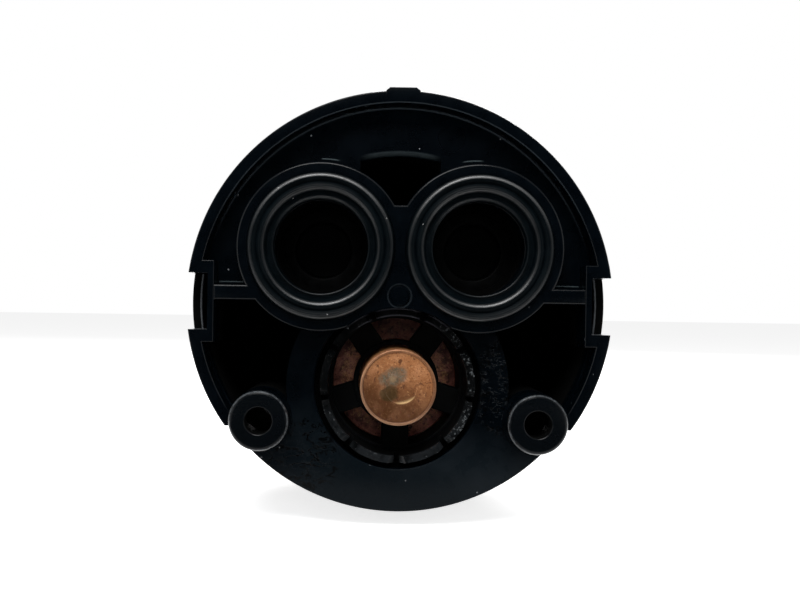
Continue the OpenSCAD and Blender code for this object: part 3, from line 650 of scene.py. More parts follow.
def inlet_seal(side):
    """One seal: a small lip at the bore, then two beads with a valley between them."""
    lip = [(7.52 + 0.22 * cos(radians(a)), -0.25 * sin(radians(a))) for a in range(165, 29, -15)]
    profile = [(INLET_R, SEAL_SEAT), (INLET_R, 0.0), *lip, (8.0, -0.02), (8.35, -0.06)]
    profile += bead(INNER_BEAD, 165, 50) + [((INNER_BEAD + OUTER_BEAD) / 2, -0.71)]
    profile += bead(OUTER_BEAD, 130, 15) + [(SEAL_R, 0.0), (SEAL_R, SEAL_SEAT)]
    return lathe(profile, inlet_at(side), 192)


seals = fitted(inlet_seal(-1), joined=[inlet_seal(1)])
seal_rubber, shader, bsdf = plain_material(
    "seal_rubber", (0.012, 0.013, 0.015), 0.5, Specular_IOR_Level=0.03, Coat_Roughness=0.46, Coat_IOR=2.1)
across, depth, height = places(shader)
sideways = abs(across) - INLET[0]
upwards = height + INLET[1]
from_inlet = distance(sideways, upwards)
low_left = ((across.sign() * sideways + upwards) * -0.7 / from_inlet).to(0.6, 1)
cloud = grain(shader, 400, 5, 0.6, 0.2)
dust = specks(shader, 900, 0.09, 0.05)
wet = cloud.to(0.2, 0.8, 0.47, 0.62)
inner = from_inlet.within(8.3, 8.4, 9.12, 9.24) * wet * (1 - low_left * 0.6)
outer = from_inlet.to(10.6, 10.72) * (wet + low_left * 0.15) * (upwards / from_inlet).to(-0.3, 0.5, 0.68, 1)
shoulders = (inner + outer) * depth.to(-0.5, -0.8)
lips = depth.to(-0.05, -0.15) * from_inlet.to(8.0, 7.8)
slopes = from_inlet.within(9.12, 9.24, 10.66, 10.78)
sheen = abs(upwards / from_inlet).to(0.2, 0.95, 0.18, 1) + low_left * 0.12
tone = blended(cloud.to(0.3, 0.7), (0.0003, 0.0012, 0.0018), (0.0008, 0.0021, 0.003))
surface(bsdf, blended(dust * 0.6, tone, (0.3, 0.3, 0.3)), cloud.to(0.3, 0.7, 0.42, 0.55) + dust * 0.3,
        grain(shader, 3200, 4) * 0.2 + cloud * 0.2, 0.00003,
        Coat_Weight=(shoulders + lips * 0.13 * (1 - low_left * 0.7) + slopes * 0.01) * sheen)
dress(seals, "seal_rings", "housing", "seal_rubber", seal_rubber, "inlet_seals", crease=30)


# The outlet cage: a black acetal ring that snaps into the outlet with nine fingers, and
# carries a five-spoked spider. Its hub keeps the sensing bulb in the middle of the stream.
CAGE_R = 12.3
MOUTH_R = 11.1
CAGE_FRONT = 3.2
SLOT_END = CAGE_FRONT + 4.4
SPIDER_FRONT = 10.5
SPIDER_BACK = 13.0
WINDOW_R = 10.65
HUB_R = 6.3
HUB_OUTER_R = 7.1
FINGERS = 9
SLOT_HALF = 0.45
WINDOWS = 5


def new_tree(name, **sockets):
    """A tree of geometry nodes: what adds a node, its inputs, and what ends it with a finish."""
    tree = bpy.data.node_groups.new(name, "GeometryNodeTree")
    for socket, kind in sockets.items():
        tree.interface.new_socket(socket, in_out="INPUT", socket_type="NodeSocket" + kind)
    tree.interface.new_socket("Geometry", in_out="OUTPUT", socket_type="NodeSocketGeometry")
    given = tree.nodes.new("NodeGroupInput").outputs

    def node(kind, values, out=0, **settings):
        added = add_node(tree, kind, values, settings)
        return added.outputs[out] if added.outputs else None

    def finished(geometry):
        solid = node("GeometryNodeRealizeInstances", {"Geometry": geometry})
        dressed = node("GeometryNodeSetMaterial", {"Geometry": solid, "Material": given["finish"]})
        node("NodeGroupOutput", {"Geometry": dressed})
        return tree

    return node, given, finished


def copies_tree():
    """Geometry nodes that set copies of a piece in a row around a centre."""
    node, given, finished = new_tree("copies_in_a_row", piece="Object", count="Int", radius="Float",
                                     first="Float", step="Float", centre="Vector", finish="Material")
    angle = node("ShaderNodeMath", {0: node("GeometryNodeInputIndex", {}), 1: given["step"],
                                    2: given["first"]}, operation="MULTIPLY_ADD")
    across, down = [node("ShaderNodeMath", {
        0: given["radius"], 1: node("ShaderNodeMath", {0: angle}, operation=turn)}, operation="MULTIPLY")
        for turn in ("COSINE", "SINE")]
    spot = node("ShaderNodeCombineXYZ", {"X": across, "Y": down})
    place = node("ShaderNodeVectorMath", {0: spot, 1: given["centre"]}, operation="ADD")
    spots = node("GeometryNodePoints", {"Count": given["count"], "Position": place})
    piece = node("GeometryNodeObjectInfo", {"Object": given["piece"]}, "Geometry")
    facing = node("ShaderNodeCombineXYZ", {"Z": angle})
    return finished(node("GeometryNodeInstanceOnPoints", {
        "Points": spots, "Instance": piece, "Rotation": facing}))


def made_by(tree, name, **sizes):
    """Runs a tree of geometry nodes on a new object and keeps its result as a plain mesh."""
    piece = new_object(name, bpy.data.meshes.new(name))
    step = piece.modifiers.new("made", "NODES")
    step.node_group = tree
    for socket in tree.interface.items_tree:
        if socket.name in sizes:
            step[socket.identifier] = sizes[socket.name]
    return fitted(piece)


row_tree = copies_tree()


def row_of(piece, count, radius, first, step, finish, centre=(*AXIS, 0)):
    """Copies of a piece around a centre; angles in degrees. The piece itself goes."""
    made = made_by(row_tree, piece.name + "_row", piece=piece, count=count, radius=float(radius),
                   first=radians(first), step=radians(step), centre=centre, finish=finish)
    bpy.data.objects.remove(piece)
    return made


def bevelled(piece, width):
    """Rounds a piece's sharp edges."""
    bevel = piece.modifiers.new("edges", "BEVEL")
    bevel.width = width
    bevel.segments = 2
    bevel.limit_method = "ANGLE"
    bevel.angle_limit = radians(35)
    return fitted(piece)


def finger():
    """One snap finger, its tip chamfered at both corners."""
    half = 180 / FINGERS - degrees(SLOT_HALF / CAGE_R)
    outline = arc(CAGE_R, -half, half, steps=16) + arc(MOUTH_R, half, -half, steps=16)
    block = prism(outline, CAGE_FRONT, SLOT_END + 0.3)
    corners = []
    for side in (-1, 1):
        edge_y = CAGE_R * sin(radians(half)) * side
        chamfer = box(-0.7, 0.7, -0.7, 0.7, 0, 20)
        chamfer.data.transform(Matrix.Translation((0, edge_y, CAGE_FRONT))
                               @ Matrix.Rotation(radians(45), 4, "X")
                               @ Matrix.Rotation(radians(90), 4, "Y"))
        corners.append(chamfer)
    return bevelled(fitted(block, cut=corners), 0.14)


cage_black, shader, bsdf = plain_material("cage_black", (0.001, 0.0013, 0.0016), 0.25,
                                          Specular_IOR_Level=0.1, Coat_Roughness=0.12)
across, depth, height = places(shader)
on_front = depth.to(4.2, 3.6)
lower = height.to(-15, -21)
above_axis = height + AXIS_Y
from_axis = distance(across, above_axis)
cloud = grain(shader, 420, 5, 0.6, 0.4)
# Painted highlights: glints on water beads on the ring's front, laid into the colour as light flecks, more
# of them towards the right; the beads also get relief.
glint_grain = grain(shader, 2300, 4, 0.6, 0.7)
beads = (glint_grain + across.to(5, 10) * 0.08).to(0.63, 0.72) * on_front
# Painted highlights: light lines along the outer and inner edges of the ring's front, on its upper part
# only.
edges = from_axis.to(CAGE_R - 0.2, CAGE_R - 0.1) + from_axis.to(MOUTH_R + 0.25, MOUTH_R + 0.15)
edges = edges * on_front * above_axis.to(8.5, 10.5)
tone = layered(
    blended(cloud.to(0.4, 0.7), (0.0002, 0.0004, 0.0005), (0.0005, 0.0008, 0.001)),
    # The front of the ring is painted lighter in clouds towards its lower part.
    (on_front * (lower + 0.05) * cloud.to(0.3, 0.6), (0.0075, 0.0088, 0.01)),
    (edges * 0.8, (0.03, 0.03, 0.036)),
    (beads * 0.65, (0.09, 0.1, 0.105)))
surface(bsdf, tone, on_front.to(0, 1, 0.6, 0.3), beads * 0.8 + cloud * on_front * 0.4, 0.00012,
        Coat_Weight=on_front * (lower + 0.5) * 0.17)

cage_wall = turned([(CAGE_R, SLOT_END), (CAGE_R, CAGE_END), (WINDOW_R, CAGE_END),
                    (WINDOW_R, SPIDER_FRONT, 0.15), (MOUTH_R, SPIDER_FRONT), (MOUTH_R, SLOT_END)],
                   AXIS, 180)
hub = ring(HUB_R, HUB_OUTER_R, SPIDER_FRONT, SPIDER_BACK + 1, 0.2)
spoke = box(HUB_R + 0.3, WINDOW_R + 0.2, -2.25, 2.25, SPIDER_FRONT + 0.3, SPIDER_BACK, 0.25)
fingers = row_of(finger(), FINGERS, 0, -90 + 360 / FINGERS, 360 / FINGERS, cage_black)
spokes = row_of(spoke, WINDOWS, 0, -90 + 180 / WINDOWS, 360 / WINDOWS, cage_black)
cage = fitted(cage_wall, joined=[hub, spokes, fingers])
dress(cage, "outlet_snap_cage", "housing", "cage_plastic", cage_black, "outlet_cage")


# The wax capsule: a deep-drawn copper bulb with a rolled rim, brazed into a copper
# flange. The wax in it swells with the mixed water and pushes the piston behind it.
BULB_R = 5.95
BULB_FRONT = 0.5
BULB_DISC = 0.8
CAPSULE_FLANGE = 19.4
CAPSULE_BACK = 20.8
CAPSULE_FLANGE_R = 10.9
bulb = turned([
    (0, BULB_DISC), (5.5, BULB_DISC, 0.1), (5.54, BULB_FRONT, 0.1), (BULB_R, BULB_FRONT, 0.24),
    (BULB_R, CAPSULE_FLANGE - 1.2), (BULB_R + 1.2, CAPSULE_FLANGE - 1.2, 0.2),
    (BULB_R + 1.2, CAPSULE_FLANGE), (CAPSULE_FLANGE_R, CAPSULE_FLANGE, 0.3),
    (CAPSULE_FLANGE_R, CAPSULE_BACK, 0.3), (0, CAPSULE_BACK)], steps=160)
DENT_R = 2.6
DENT_SPOT = (0.46, -0.05)
DENT_TILT = 4.2
dent = turned([(0, -2), (DENT_R, -2), (DENT_R, 0.0, 0.22), (0, 0.0)], steps=96)
dent.data.transform(Matrix.Translation((*DENT_SPOT, BULB_DISC + 0.09))
                    @ Matrix.Rotation(radians(DENT_TILT), 4, Vector((1, 0.35, 0))))
bulb = fitted(bulb, cut=[dent])
bulb.data.transform(Matrix.Translation((*AXIS, 0)))

# Its outer skin is stained copper with a grey and an olive spot; what the windows show of
# the flange behind it is mottled and redder.
old_copper, shader, bsdf = plain_material("old_copper", (0.3, 0.14, 0.06), 0.42, 0.5)
across, depth, height = places(shader)
height = height + AXIS_Y
from_axis = distance(across, height)
patchy = grain(shader, 520, 6, 0.62, 0.11)
fine = grain(shader, 2600, 4, 0.6, 0.31)
spots = grain(shader, 1500, 2, 0.5, 0.57)
pits = grain(shader, 3600, 2, 0.5, 0.93)
streaks = grain(shader, 1900, 3, 0.6, 0.61)
swirls = abs(grain(shader, 900, 2, 0.5, 0.83) - 0.5).to(0.03, 0.0)
wobble = (grain(shader, 700, 4, 0.6, 0.77) - 0.5) * 1.3
# Painted light: the skin is painted lighter towards the top and a little to the right, and darker towards
# the bottom; its light flecks are stronger where it is lighter.
painted_light = (height + across * 0.35).to(-3.5, 4.5)
tilted = (height - 1.6) * 0.9 - (across + 0.85) * 0.25
grey = ((across + 0.75).squared() * 0.16 + tilted.squared() * 0.42 + wobble * 0.8).to(1.15, 0.35)
warm = ((across + 0.85).squared() + (height - 1.3).squared()).to(0.5, 0.0)
olive = ((across + 1.4).squared() * 0.8 + (height + 0.95).squared() + wobble * 2.6).to(2.3, 0.6)
dent_x = across - DENT_SPOT[0]
dent_z = height + DENT_SPOT[1]
# A painted highlight: a light crescent along the lower right edge of the dent.
dent_highlight = distance(dent_x, dent_z).within(2.0, 2.35, 2.6, 2.75) * (dent_z - dent_x * 0.35).to(-1.9, -2.6)
rolled = from_axis.to(5.5, 5.6) * depth.to(1.5, 1.0)
# Painted shade: a dark line in the crease between the rolled rim and the disc.
groove = from_axis.within(5.3, 5.42, 5.48, 5.56) * depth.to(1.5, 1.0)
inside = depth.to(14, 17)
inner_side = from_axis.to(9.7, 8.8) * abs(across).to(3, 5)
skin = layered(
    blended(painted_light, (0.077, 0.025, 0.0045), (0.395, 0.157, 0.058)),
    (patchy.to(0.42, 0.72) * 0.5 * (painted_light + 0.2), (0.5, 0.24, 0.11)),
    (spots.to(0.6, 0.7) * 0.7, (0.06, 0.016, 0.006)),
    (pits.to(0.57, 0.66) * 0.7, (0.11, 0.028, 0.01)),
    (fine.to(0.52, 0.7) * (painted_light * 0.6 + 0.1), (0.6, 0.32, 0.14)),
    (fine.to(0.45, 0.25) * 0.6, (0.09, 0.03, 0.01)),
    (grey * (fine.to(0.35, 0.6) * 0.45 + 0.45), (0.088, 0.078, 0.052)),
    (grey * swirls * 0.35, (0.28, 0.25, 0.2)),
    (warm * 0.7, (0.26, 0.17, 0.09)),
    (olive * 0.75, (0.042, 0.027, 0.006)),
    (dent_highlight * 0.8, (0.42, 0.27, 0.12)),
    (groove * 0.5, (0.05, 0.016, 0.006)),
    # Painted light and shade: the rolled rim is lighter towards its lower left and darker towards its upper
    # right.
    (rolled * 0.7, blended((height + across).to(-3, 4), (0.31, 0.17, 0.095), (0.12, 0.056, 0.028))))
mottled = layered(
    blended(patchy.to(0.34, 0.62), (0.06, 0.015, 0.012), (0.42, 0.16, 0.11)),
    (fine.to(0.58, 0.72) * 0.8, (0.6, 0.3, 0.22)),
    (spots.to(0.58, 0.66) * 0.8, (0.01, 0.003, 0.003)),
    (streaks.to(0.56, 0.68) * 0.6, (0.62, 0.36, 0.16)),
    (inner_side * streaks.to(0.36, 0.62) * 0.5, (0.6, 0.27, 0.11)),
    # Painted shade: the flange is darker towards its outer edge, by the cage wall, and towards the top,
    # where the ring shades the top window.
    (from_axis.to(9.2, 10.2) * 0.4, (0.14, 0.03, 0.022)),
    (pits.to(0.56, 0.66) * 0.6, (0.05, 0.012, 0.01)),
    (height.to(4, 8) * 0.55, (0.07, 0.014, 0.01)))
surface(bsdf, blended(inside, skin, mottled), patchy.to(0.35, 0.7, 0.36, 0.56) - grey * 0.12,
        fine * 0.4 + patchy * 0.9 + spots.to(0.6, 0.7) * -0.3 + inside * patchy * 3, 0.00006,
        Metallic=(1 - grey * 0.5) * 0.5 * (1 - inside * 0.8))
dress(bulb, "wax_bulb", "shuttle", "capsule_copper", old_copper, "wax_capsule", crease=22)


# The check valves, one in each inlet: a black sleeve with a front seat, a dark poppet
# and a fine steel spring, pressed in from behind and sealed by a small ring.
CHECK_FRONT = 9.0
CHECK_SEAT_END = 11.6
CHECK_R = 7.2
CHECK_BORE_R = 5.9
CHECK_SEAT_R = 4.6
CHECK_END = 21.98
STEM_R = 1.25
STEM_END = 22.4
GUIDE_FRONT = 19.5
GUIDE_R = 2.2
POPPET_FRONT = 11.62
POPPET_BACK = 12.82
POPPET_R = 5.4
CHECK_SPRING_R = 1.85
CHECK_WIRE_R = 0.25


def clouded(name, colour, roughness, metallic, cloud, tones, gloss, depth, relief=None, low=0.3, **others):
    """A material whose two tones and gloss follow one cloud of grain, with its small relief."""
    material, shader, bsdf = plain_material(name, colour, roughness, metallic, **others)
    cloud = grain(shader, *cloud)
    height = grain(shader, *relief) * 0.6 + cloud * 0.4 if relief else cloud
    surface(bsdf, blended(cloud.to(low, 0.7), *tones), cloud.to(0.3, 0.7, *gloss), height, depth)
    return material


check_black = clouded(
    "check_black", (0.001, 0.001, 0.001), 0.45, 0.0, cloud=(600, 4, 0.6, 0.9), depth=0.00004,
    tones=((0.0002, 0.0003, 0.0003), (0.0005, 0.0006, 0.0007)), gloss=(0.35, 0.55), Specular_IOR_Level=0.05)
poppet_grey = clouded(
    "poppet_grey", (0.01, 0.01, 0.01), 0.5, 0.0, cloud=(900, 3, 0.5, 1.1), depth=0.00004,
    tones=((0.0003, 0.0004, 0.0004), (0.0007, 0.0008, 0.0009)), gloss=(0.4, 0.6), Specular_IOR_Level=0.05)
spring_steel = clouded(
    "spring_steel", (0.42, 0.42, 0.44), 0.3, 1.0, cloud=(2600, 3, 0.6, 1.3), depth=0.00002,
    tones=((0.34, 0.33, 0.33), (0.5, 0.5, 0.52)), gloss=(0.24, 0.4))


def spring_tree():
    """Geometry nodes for a coil spring of round wire that lies along its own axis."""
    node, given, finished = new_tree("coil_spring", radius="Float", wire_radius="Float", length="Float",
                                     turns="Float", front="Vector", finish="Material")
    line = node("GeometryNodeCurveSpiral", {
        "Resolution": 40, "Rotations": given["turns"], "Start Radius": given["radius"],
        "End Radius": given["radius"], "Height": given["length"]})
    wire = node("GeometryNodeCurvePrimitiveCircle", {"Resolution": 12, "Radius": given["wire_radius"]})
    swept = node("GeometryNodeCurveToMesh", {"Curve": line, "Profile Curve": wire, "Fill Caps": True})
    return finished(node("GeometryNodeTransform", {"Geometry": swept, "Translation": given["front"]}))


coil_tree = spring_tree()


def coil_spring(name, radius, wire, front, back, turns, centre):
    """A coil spring whose wire just touches both levels."""
    return made_by(coil_tree, name, radius=radius, wire_radius=wire, length=back - front - 2 * wire,
                   turns=float(turns), front=(*centre, front + wire), finish=spring_steel)


for side, name in ((1, "hot"), (-1, "cold")):
    sleeve = turned([
        (CHECK_SEAT_R, CHECK_FRONT, 0.4), (CHECK_R, CHECK_FRONT, 0.3), (CHECK_R, 13.0, 0.1),
        (CHECK_R - 1, 13.0), (CHECK_R - 1, 14.6), (CHECK_R, 14.6, 0.1), (CHECK_R, CHECK_END, 0.2),
        (CHECK_BORE_R, CHECK_END, 0.2), (CHECK_BORE_R, CHECK_SEAT_END), (CHECK_SEAT_R, CHECK_SEAT_END, 0.3)
    ], inlet_at(side), 112, 4)
    hub = turned([(STEM_R + 0.05, GUIDE_FRONT), (GUIDE_R, GUIDE_FRONT, 0.2), (GUIDE_R, CHECK_END, 0.2),
                  (STEM_R + 0.05, CHECK_END)], inlet_at(side), 48, 3)
    rib = box(1.85, CHECK_BORE_R + 0.2, -0.6, 0.6, GUIDE_FRONT, CHECK_END, 0.15)
    ribs = row_of(rib, 3, 0, 0, 120, check_black, (*inlet_at(side), 0))
    sleeve = fitted(sleeve, joined=[hub, ribs])
    dress(sleeve, "check_sleeve_" + name, "housing", "check_plastic", check_black, "check_body_" + name)
    poppet = turned([
        (0, POPPET_FRONT), (4.2, POPPET_FRONT, 0.5), (POPPET_R, POPPET_FRONT + 0.35, 0.3),
        (POPPET_R, POPPET_BACK, 0.2), (STEM_R, POPPET_BACK, 0.3), (STEM_R, STEM_END, 0.3), (0, STEM_END)
    ], inlet_at(side), 72, 4)
    dress(poppet, "check_poppet_piece_" + name, "poppet_" + name, "poppet_plastic", poppet_grey,
          "check_poppet_" + name)
    spring = coil_spring("spring", CHECK_SPRING_R, CHECK_WIRE_R, POPPET_BACK, GUIDE_FRONT, 5, inlet_at(side))
    dress(spring, "check_coil_" + name, "housing", "bright_steel", spring_steel, "check_spring_" + name,
          crease=60)
    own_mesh(spring)


# The rear housing: a black glass-filled nylon cup that the base plugs into. Its collar
# carries the body seal in a groove, and its back wall holds the bonnet and the screws.
CUP_R = 31.5
BODY_COLLAR_R = 35.0
REAR_LAND_R = 34.5
BODY_GROOVE_R = 32.9
BODY_GROOVE = (25.9, 29.1)
PLATE_BACK = 41.0
HOUSING_BACK = 44.5
BONNET_BORE_R = 12.0
SCREW_R = 1.5
BONNET_SCREWS = (4, 15.4, 45, 90)
BONNET_SCREW_R = 1.25

housing = turned([
    (0, HOUSING_BACK), (RIM_R - 1.5, HOUSING_BACK, 0.4), (RIM_R, HOUSING_BACK - 1.5, 0.4),
    (RIM_R, 34.5, 0.3), (REAR_LAND_R, 33.0, 0.3), (REAR_LAND_R, BODY_GROOVE[1], 0.15),
    (BODY_GROOVE_R, BODY_GROOVE[1], 0.2), (BODY_GROOVE_R, BODY_GROOVE[0], 0.2),
    (BODY_COLLAR_R, BODY_GROOVE[0], 0.15), (BODY_COLLAR_R, 19.0, 0.3), (RIM_R, 17.5, 0.3),
    (RIM_R, FLANGE_BACK, 0.15), (CUP_R, FLANGE_BACK, 0.15), (CUP_R, PLATE_BACK), (0, PLATE_BACK)
], steps=256, fineness=4)


def drilled(spot, radius, front, back, chamfer=0.25):
    """A cutter for a hole that is open at the back, with a chamfer there."""
    return lathe([(0, front), (radius, front), (radius, back - chamfer), (radius + chamfer, back),
                  (radius + chamfer, back + 1), (0, back + 1)], spot, 48)


housing = fitted(housing, cut=[
    drilled(AXIS, BONNET_BORE_R, PLATE_BACK - 1, HOUSING_BACK),
    *[drilled(boss_at(side), FIX_HOLE_R + 0.1, PLATE_BACK - 1, HOUSING_BACK, 0.5) for side in (-1, 1)],
    *[drilled(spot, SCREW_R + 0.2, PLATE_BACK - 1, HOUSING_BACK) for spot in spots_of(*LONG_SCREWS)],
    *[drilled(spot, BONNET_SCREW_R + 0.02, PLATE_BACK - 1, HOUSING_BACK)
      for spot in spots_of(*BONNET_SCREWS, AXIS)],
    *[lathe([(0, HOUSING_BACK - 0.15), (1.9, HOUSING_BACK - 0.15), (2.0, HOUSING_BACK + 1),
             (0, HOUSING_BACK + 1)], spot, 48) for spot in ((-14, -14), (14, -14))],
])
housing_black, shader, bsdf = plain_material("housing_black", (0.006, 0.0065, 0.0075), 0.4,
                                             Specular_IOR_Level=0.05, Coat_Roughness=0.36)
across, depth, height = places(shader)
cloud = grain(shader, 180, 5, 0.6, 2.1)
spark = grain(shader, 5000, 2, 0.5, 2.3)
flow = noise(place_on(shader, (1.0, 0.12, 1.0), "MULTIPLY"), 700)
dust = specks(shader, 420, 0.08, 0.05)
cup_front = depth.to(FLANGE_BACK + 0.3, FLANGE_BACK + 0.15)
# A painted highlight: a light line along the outer edge of the cup's front face.
cup_edge_highlight = cup_front * distance(across, height).to(CUP_R + 0.3, CUP_R + 0.2)
# Painted shade: the cup's front face, where it meets the base, and the holes behind the fixing bosses are
# painted nearly black, rougher and without coat.
shaded_holes = distance(abs(across) - BOSS[0], height + BOSS[1]).to(2.5, 2.3)
shaded_places = (cup_front + shaded_holes).to(0, 1)
tone = layered(blended(cloud.to(0.3, 0.7), (0.0035, 0.004, 0.0048), (0.0085, 0.009, 0.0105)),
               (shaded_places, (0.0002, 0.0003, 0.0003)),
               (cup_edge_highlight, (0.06, 0.065, 0.07)),
               (dust * 0.5, (0.25, 0.25, 0.25)))
surface(bsdf, tone, cloud.to(0.3, 0.7, 0.32, 0.48) + dust * 0.2 + shaded_places * 0.5,
        spark * 0.5 + flow * 0.4, 0.00005, Coat_Weight=(1 - shaded_places) * cloud.to(0.3, 0.7, 0.75, 0.5))
dress(housing, "rear_cup", "housing", "housing_plastic", housing_black, "rear_housing")


# The body seal: a black rubber ring in the collar's groove, which seals the cartridge in
# the mixer's body. It carries the fine parting line of its mould around its middle.
RING_R = 1.3
ring_mid = BODY_GROOVE_R + RING_R + 0.02
ring_profile = [(ring_mid + (RING_R - 0.02 + 0.03 * (k % 12 == 0)) * cos(2 * pi * k / 24),
                 sum(BODY_GROOVE) / 2 + (RING_R - 0.02) * sin(2 * pi * k / 24)) for k in range(24)]
body_ring = lathe(ring_profile, steps=224)
dress(body_ring, "body_ring", "housing", "seal_rubber", seal_rubber, "body_seal", crease=40)


# The fasteners: three long pan-head screws that hold the base in the housing, and four
# short ones that hold the bonnet. Steel, cold-headed, with cross recesses.
bright_steel = clouded(
    "bright_steel", (0.55, 0.55, 0.57), 0.28, 1.0, cloud=(900, 5, 0.6, 3.1), relief=(3500, 3, 0.6, 3.3),
    depth=0.00002, tones=((0.42, 0.42, 0.43), (0.62, 0.62, 0.64)), gloss=(0.2, 0.42), low=0.35)


def pan_screw(radius, head_r, head_h, tip, seat):
    """A screw about the origin with a domed head and a tapered cross recess."""
    top = seat + head_h
    body = turned([(0, tip), (radius - 0.4, tip), (radius, tip + 0.5), (radius, seat), (head_r, seat, 0.12),
                   (head_r, seat + head_h * 0.45, 0.5), (head_r * 0.62, top, 1.2), (0, top)],
                  steps=56, fineness=5)
    arm = head_r * 0.58
    recess = []
    for turn in (0, 90):
        bar = box(-arm, arm, -0.32, 0.32, top - 0.95, top + 0.5, 0.25)
        bar.data.transform(Matrix.Rotation(radians(turn), 4, "Z"))
        recess.append(bar)
    return fitted(body, cut=recess)


long_screw = pan_screw(SCREW_R, head_r=2.75, head_h=1.9, tip=SEAT - 10, seat=HOUSING_BACK)
dress(row_of(long_screw, *LONG_SCREWS, bright_steel, (0, 0, 0)), "long_screws", "housing",
      "bright_steel", bright_steel, "housing_screws", crease=28)
BONNET_FLANGE_BACK = 47.5
short_screw = pan_screw(BONNET_SCREW_R, head_r=2.1, head_h=1.6, tip=PLATE_BACK + 0.2,
                        seat=BONNET_FLANGE_BACK)
dress(row_of(short_screw, *BONNET_SCREWS, bright_steel), "short_screws", "housing",
      "bright_steel", bright_steel, "bonnet_screws", crease=28)


# The bonnet: turned brass, screwed to the housing. It guides the nut and the spindle, and
# its neck has four grip grooves and the fixed stop lug at its end.
BONNET_FLANGE_R = 18.0
NECK_ROOT_R = 12.2
NECK_R = 13.0
NECK_FRONT = 50.5
NECK_END = 68.0
GRIP_GROOVES = (53.5, 56.5, 59.5, 62.5)
NUT_BORE_R = 8.65
NUT_BORE_END = 54.17
COLLAR_FRONT = 54.37
COLLAR_BORE_R = 7.3
SHOULDER = 56.97
SHAFT_R = 5.0
STOP_FRONT = 69.3
STOP_T = 3.2
LUG_R = 12.4
STOP_RING_R = 10.4
LUG_HALF = 14

outline = [(0, 41.1), (11.9, 41.1, 0.3), (11.9, HOUSING_BACK), (BONNET_FLANGE_R, HOUSING_BACK, 0.3),
           (BONNET_FLANGE_R, BONNET_FLANGE_BACK, 0.5), (NECK_ROOT_R, BONNET_FLANGE_BACK, 0.4),
           (NECK_ROOT_R, NECK_FRONT, 0.3), (NECK_R, NECK_FRONT, 0.35)]
for groove in GRIP_GROOVES:
    outline += [(NECK_R, groove, 0.15), (NECK_R - 0.6, groove, 0.25),
                (NECK_R - 0.6, groove + 1.2, 0.25), (NECK_R, groove + 1.2, 0.15)]
outline += [(NECK_R, NECK_END, 0.5), (0, NECK_END)]
bonnet = turned(outline, AXIS, 192, 4)


def lug(middle, inner, outer, front, back, soft=0.2):
    """A stop lug between two radii, around the angle of its middle."""
    outline = arc(outer, middle - LUG_HALF, middle + LUG_HALF, AXIS, 14)
    outline += arc(inner, middle + LUG_HALF, middle - LUG_HALF, AXIS, 14)
    return prism(outline, front, back, soft)


bore = lathe([(0, 40), (NUT_BORE_R, 40), (NUT_BORE_R, NUT_BORE_END), (COLLAR_BORE_R, NUT_BORE_END),
              (COLLAR_BORE_R, SHOULDER), (SHAFT_R + 0.05, SHOULDER), (SHAFT_R + 0.05, NECK_END - 0.3),
              (SHAFT_R + 0.35, NECK_END), (SHAFT_R + 0.35, 70), (0, 70)], AXIS, 112)
key_way = box(-10.1, 10.1, AXIS_Y - 1.6, AXIS_Y + 1.6, 40, NUT_BORE_END)
seal_groove = ring(12.2, 13.8, 43.5, 45.8)
bonnet_lug = lug(90, STOP_RING_R + 0.5, LUG_R, NECK_END - 0.2, STOP_FRONT + STOP_T - 0.4)
bonnet = fitted(bonnet, joined=[bonnet_lug], cut=[
    bore, key_way, seal_groove,
    *[drilled(spot, BONNET_SCREW_R + 0.15, HOUSING_BACK - 1, BONNET_FLANGE_BACK, 0.1)
      for spot in spots_of(*BONNET_SCREWS, AXIS)]])

# Its marks are the fine rings that the lathe tool leaves around the thermostat axis.
turned_brass, shader, bsdf = plain_material("turned_brass", (0.58, 0.4, 0.16), 0.26, 1.0)
across, depth, height = places(shader)
ring_place = shader.node("CombineXYZ", {"X": distance(across, height + AXIS_Y), "Y": depth})
marks = noise(ring_place, 5)
cloud = grain(shader, 160, 5, 0.6, 4.1)
stains = grain(shader, 520, 5, 0.6, 4.4)
# Painted shade, not grime: the brass behind the fixing holes is painted black, rougher and not metallic.
hole_shade = distance(abs(across) - BOSS[0], height + BOSS[1]).to(2.8, 2.4)
tone = layered(blended(cloud.to(0.35, 0.7), (0.5, 0.33, 0.12), (0.66, 0.47, 0.2)),
               (stains.to(0.6, 0.75) * 0.45, (0.3, 0.17, 0.06)),
               (hole_shade, (0.001, 0.001, 0.001)))
surface(bsdf, tone, stains.to(0.4, 0.75, 0.2, 0.44) + (marks - 0.5) * 0.12 + hole_shade * 0.5,
        marks * 0.8 + stains * 0.2, 0.00003, Metallic=1 - hole_shade)
dress(bonnet, "turned_bonnet", "housing", "bonnet_brass", turned_brass, "bonnet", crease=20)


# The spindle: turned brass. Its thread drives the nut, its collar turns against the thrust
# washer, and twenty splines and an M4 hole at its end carry the control knob.
THREAD_R = 4.5
THREAD_ROOT_R = 3.75
THREADS = 4
THREAD_PITCH = 1.33
SPINDLE_FRONT = 46.9
COLLAR_T = 2.0
GROOVES = (58.97, 62.97)
GROOVE_W = 1.7
GROOVE_R = 3.7
CLIP_FRONT = 68.2
CLIP_T = 0.9
END_R = 4.2
SPINDLE_END = 85.5
KNOB_HOLE_R = 1.65
KNOB_HOLE = 12.0
KNOB_PITCH = 0.7
SPLINES = 20

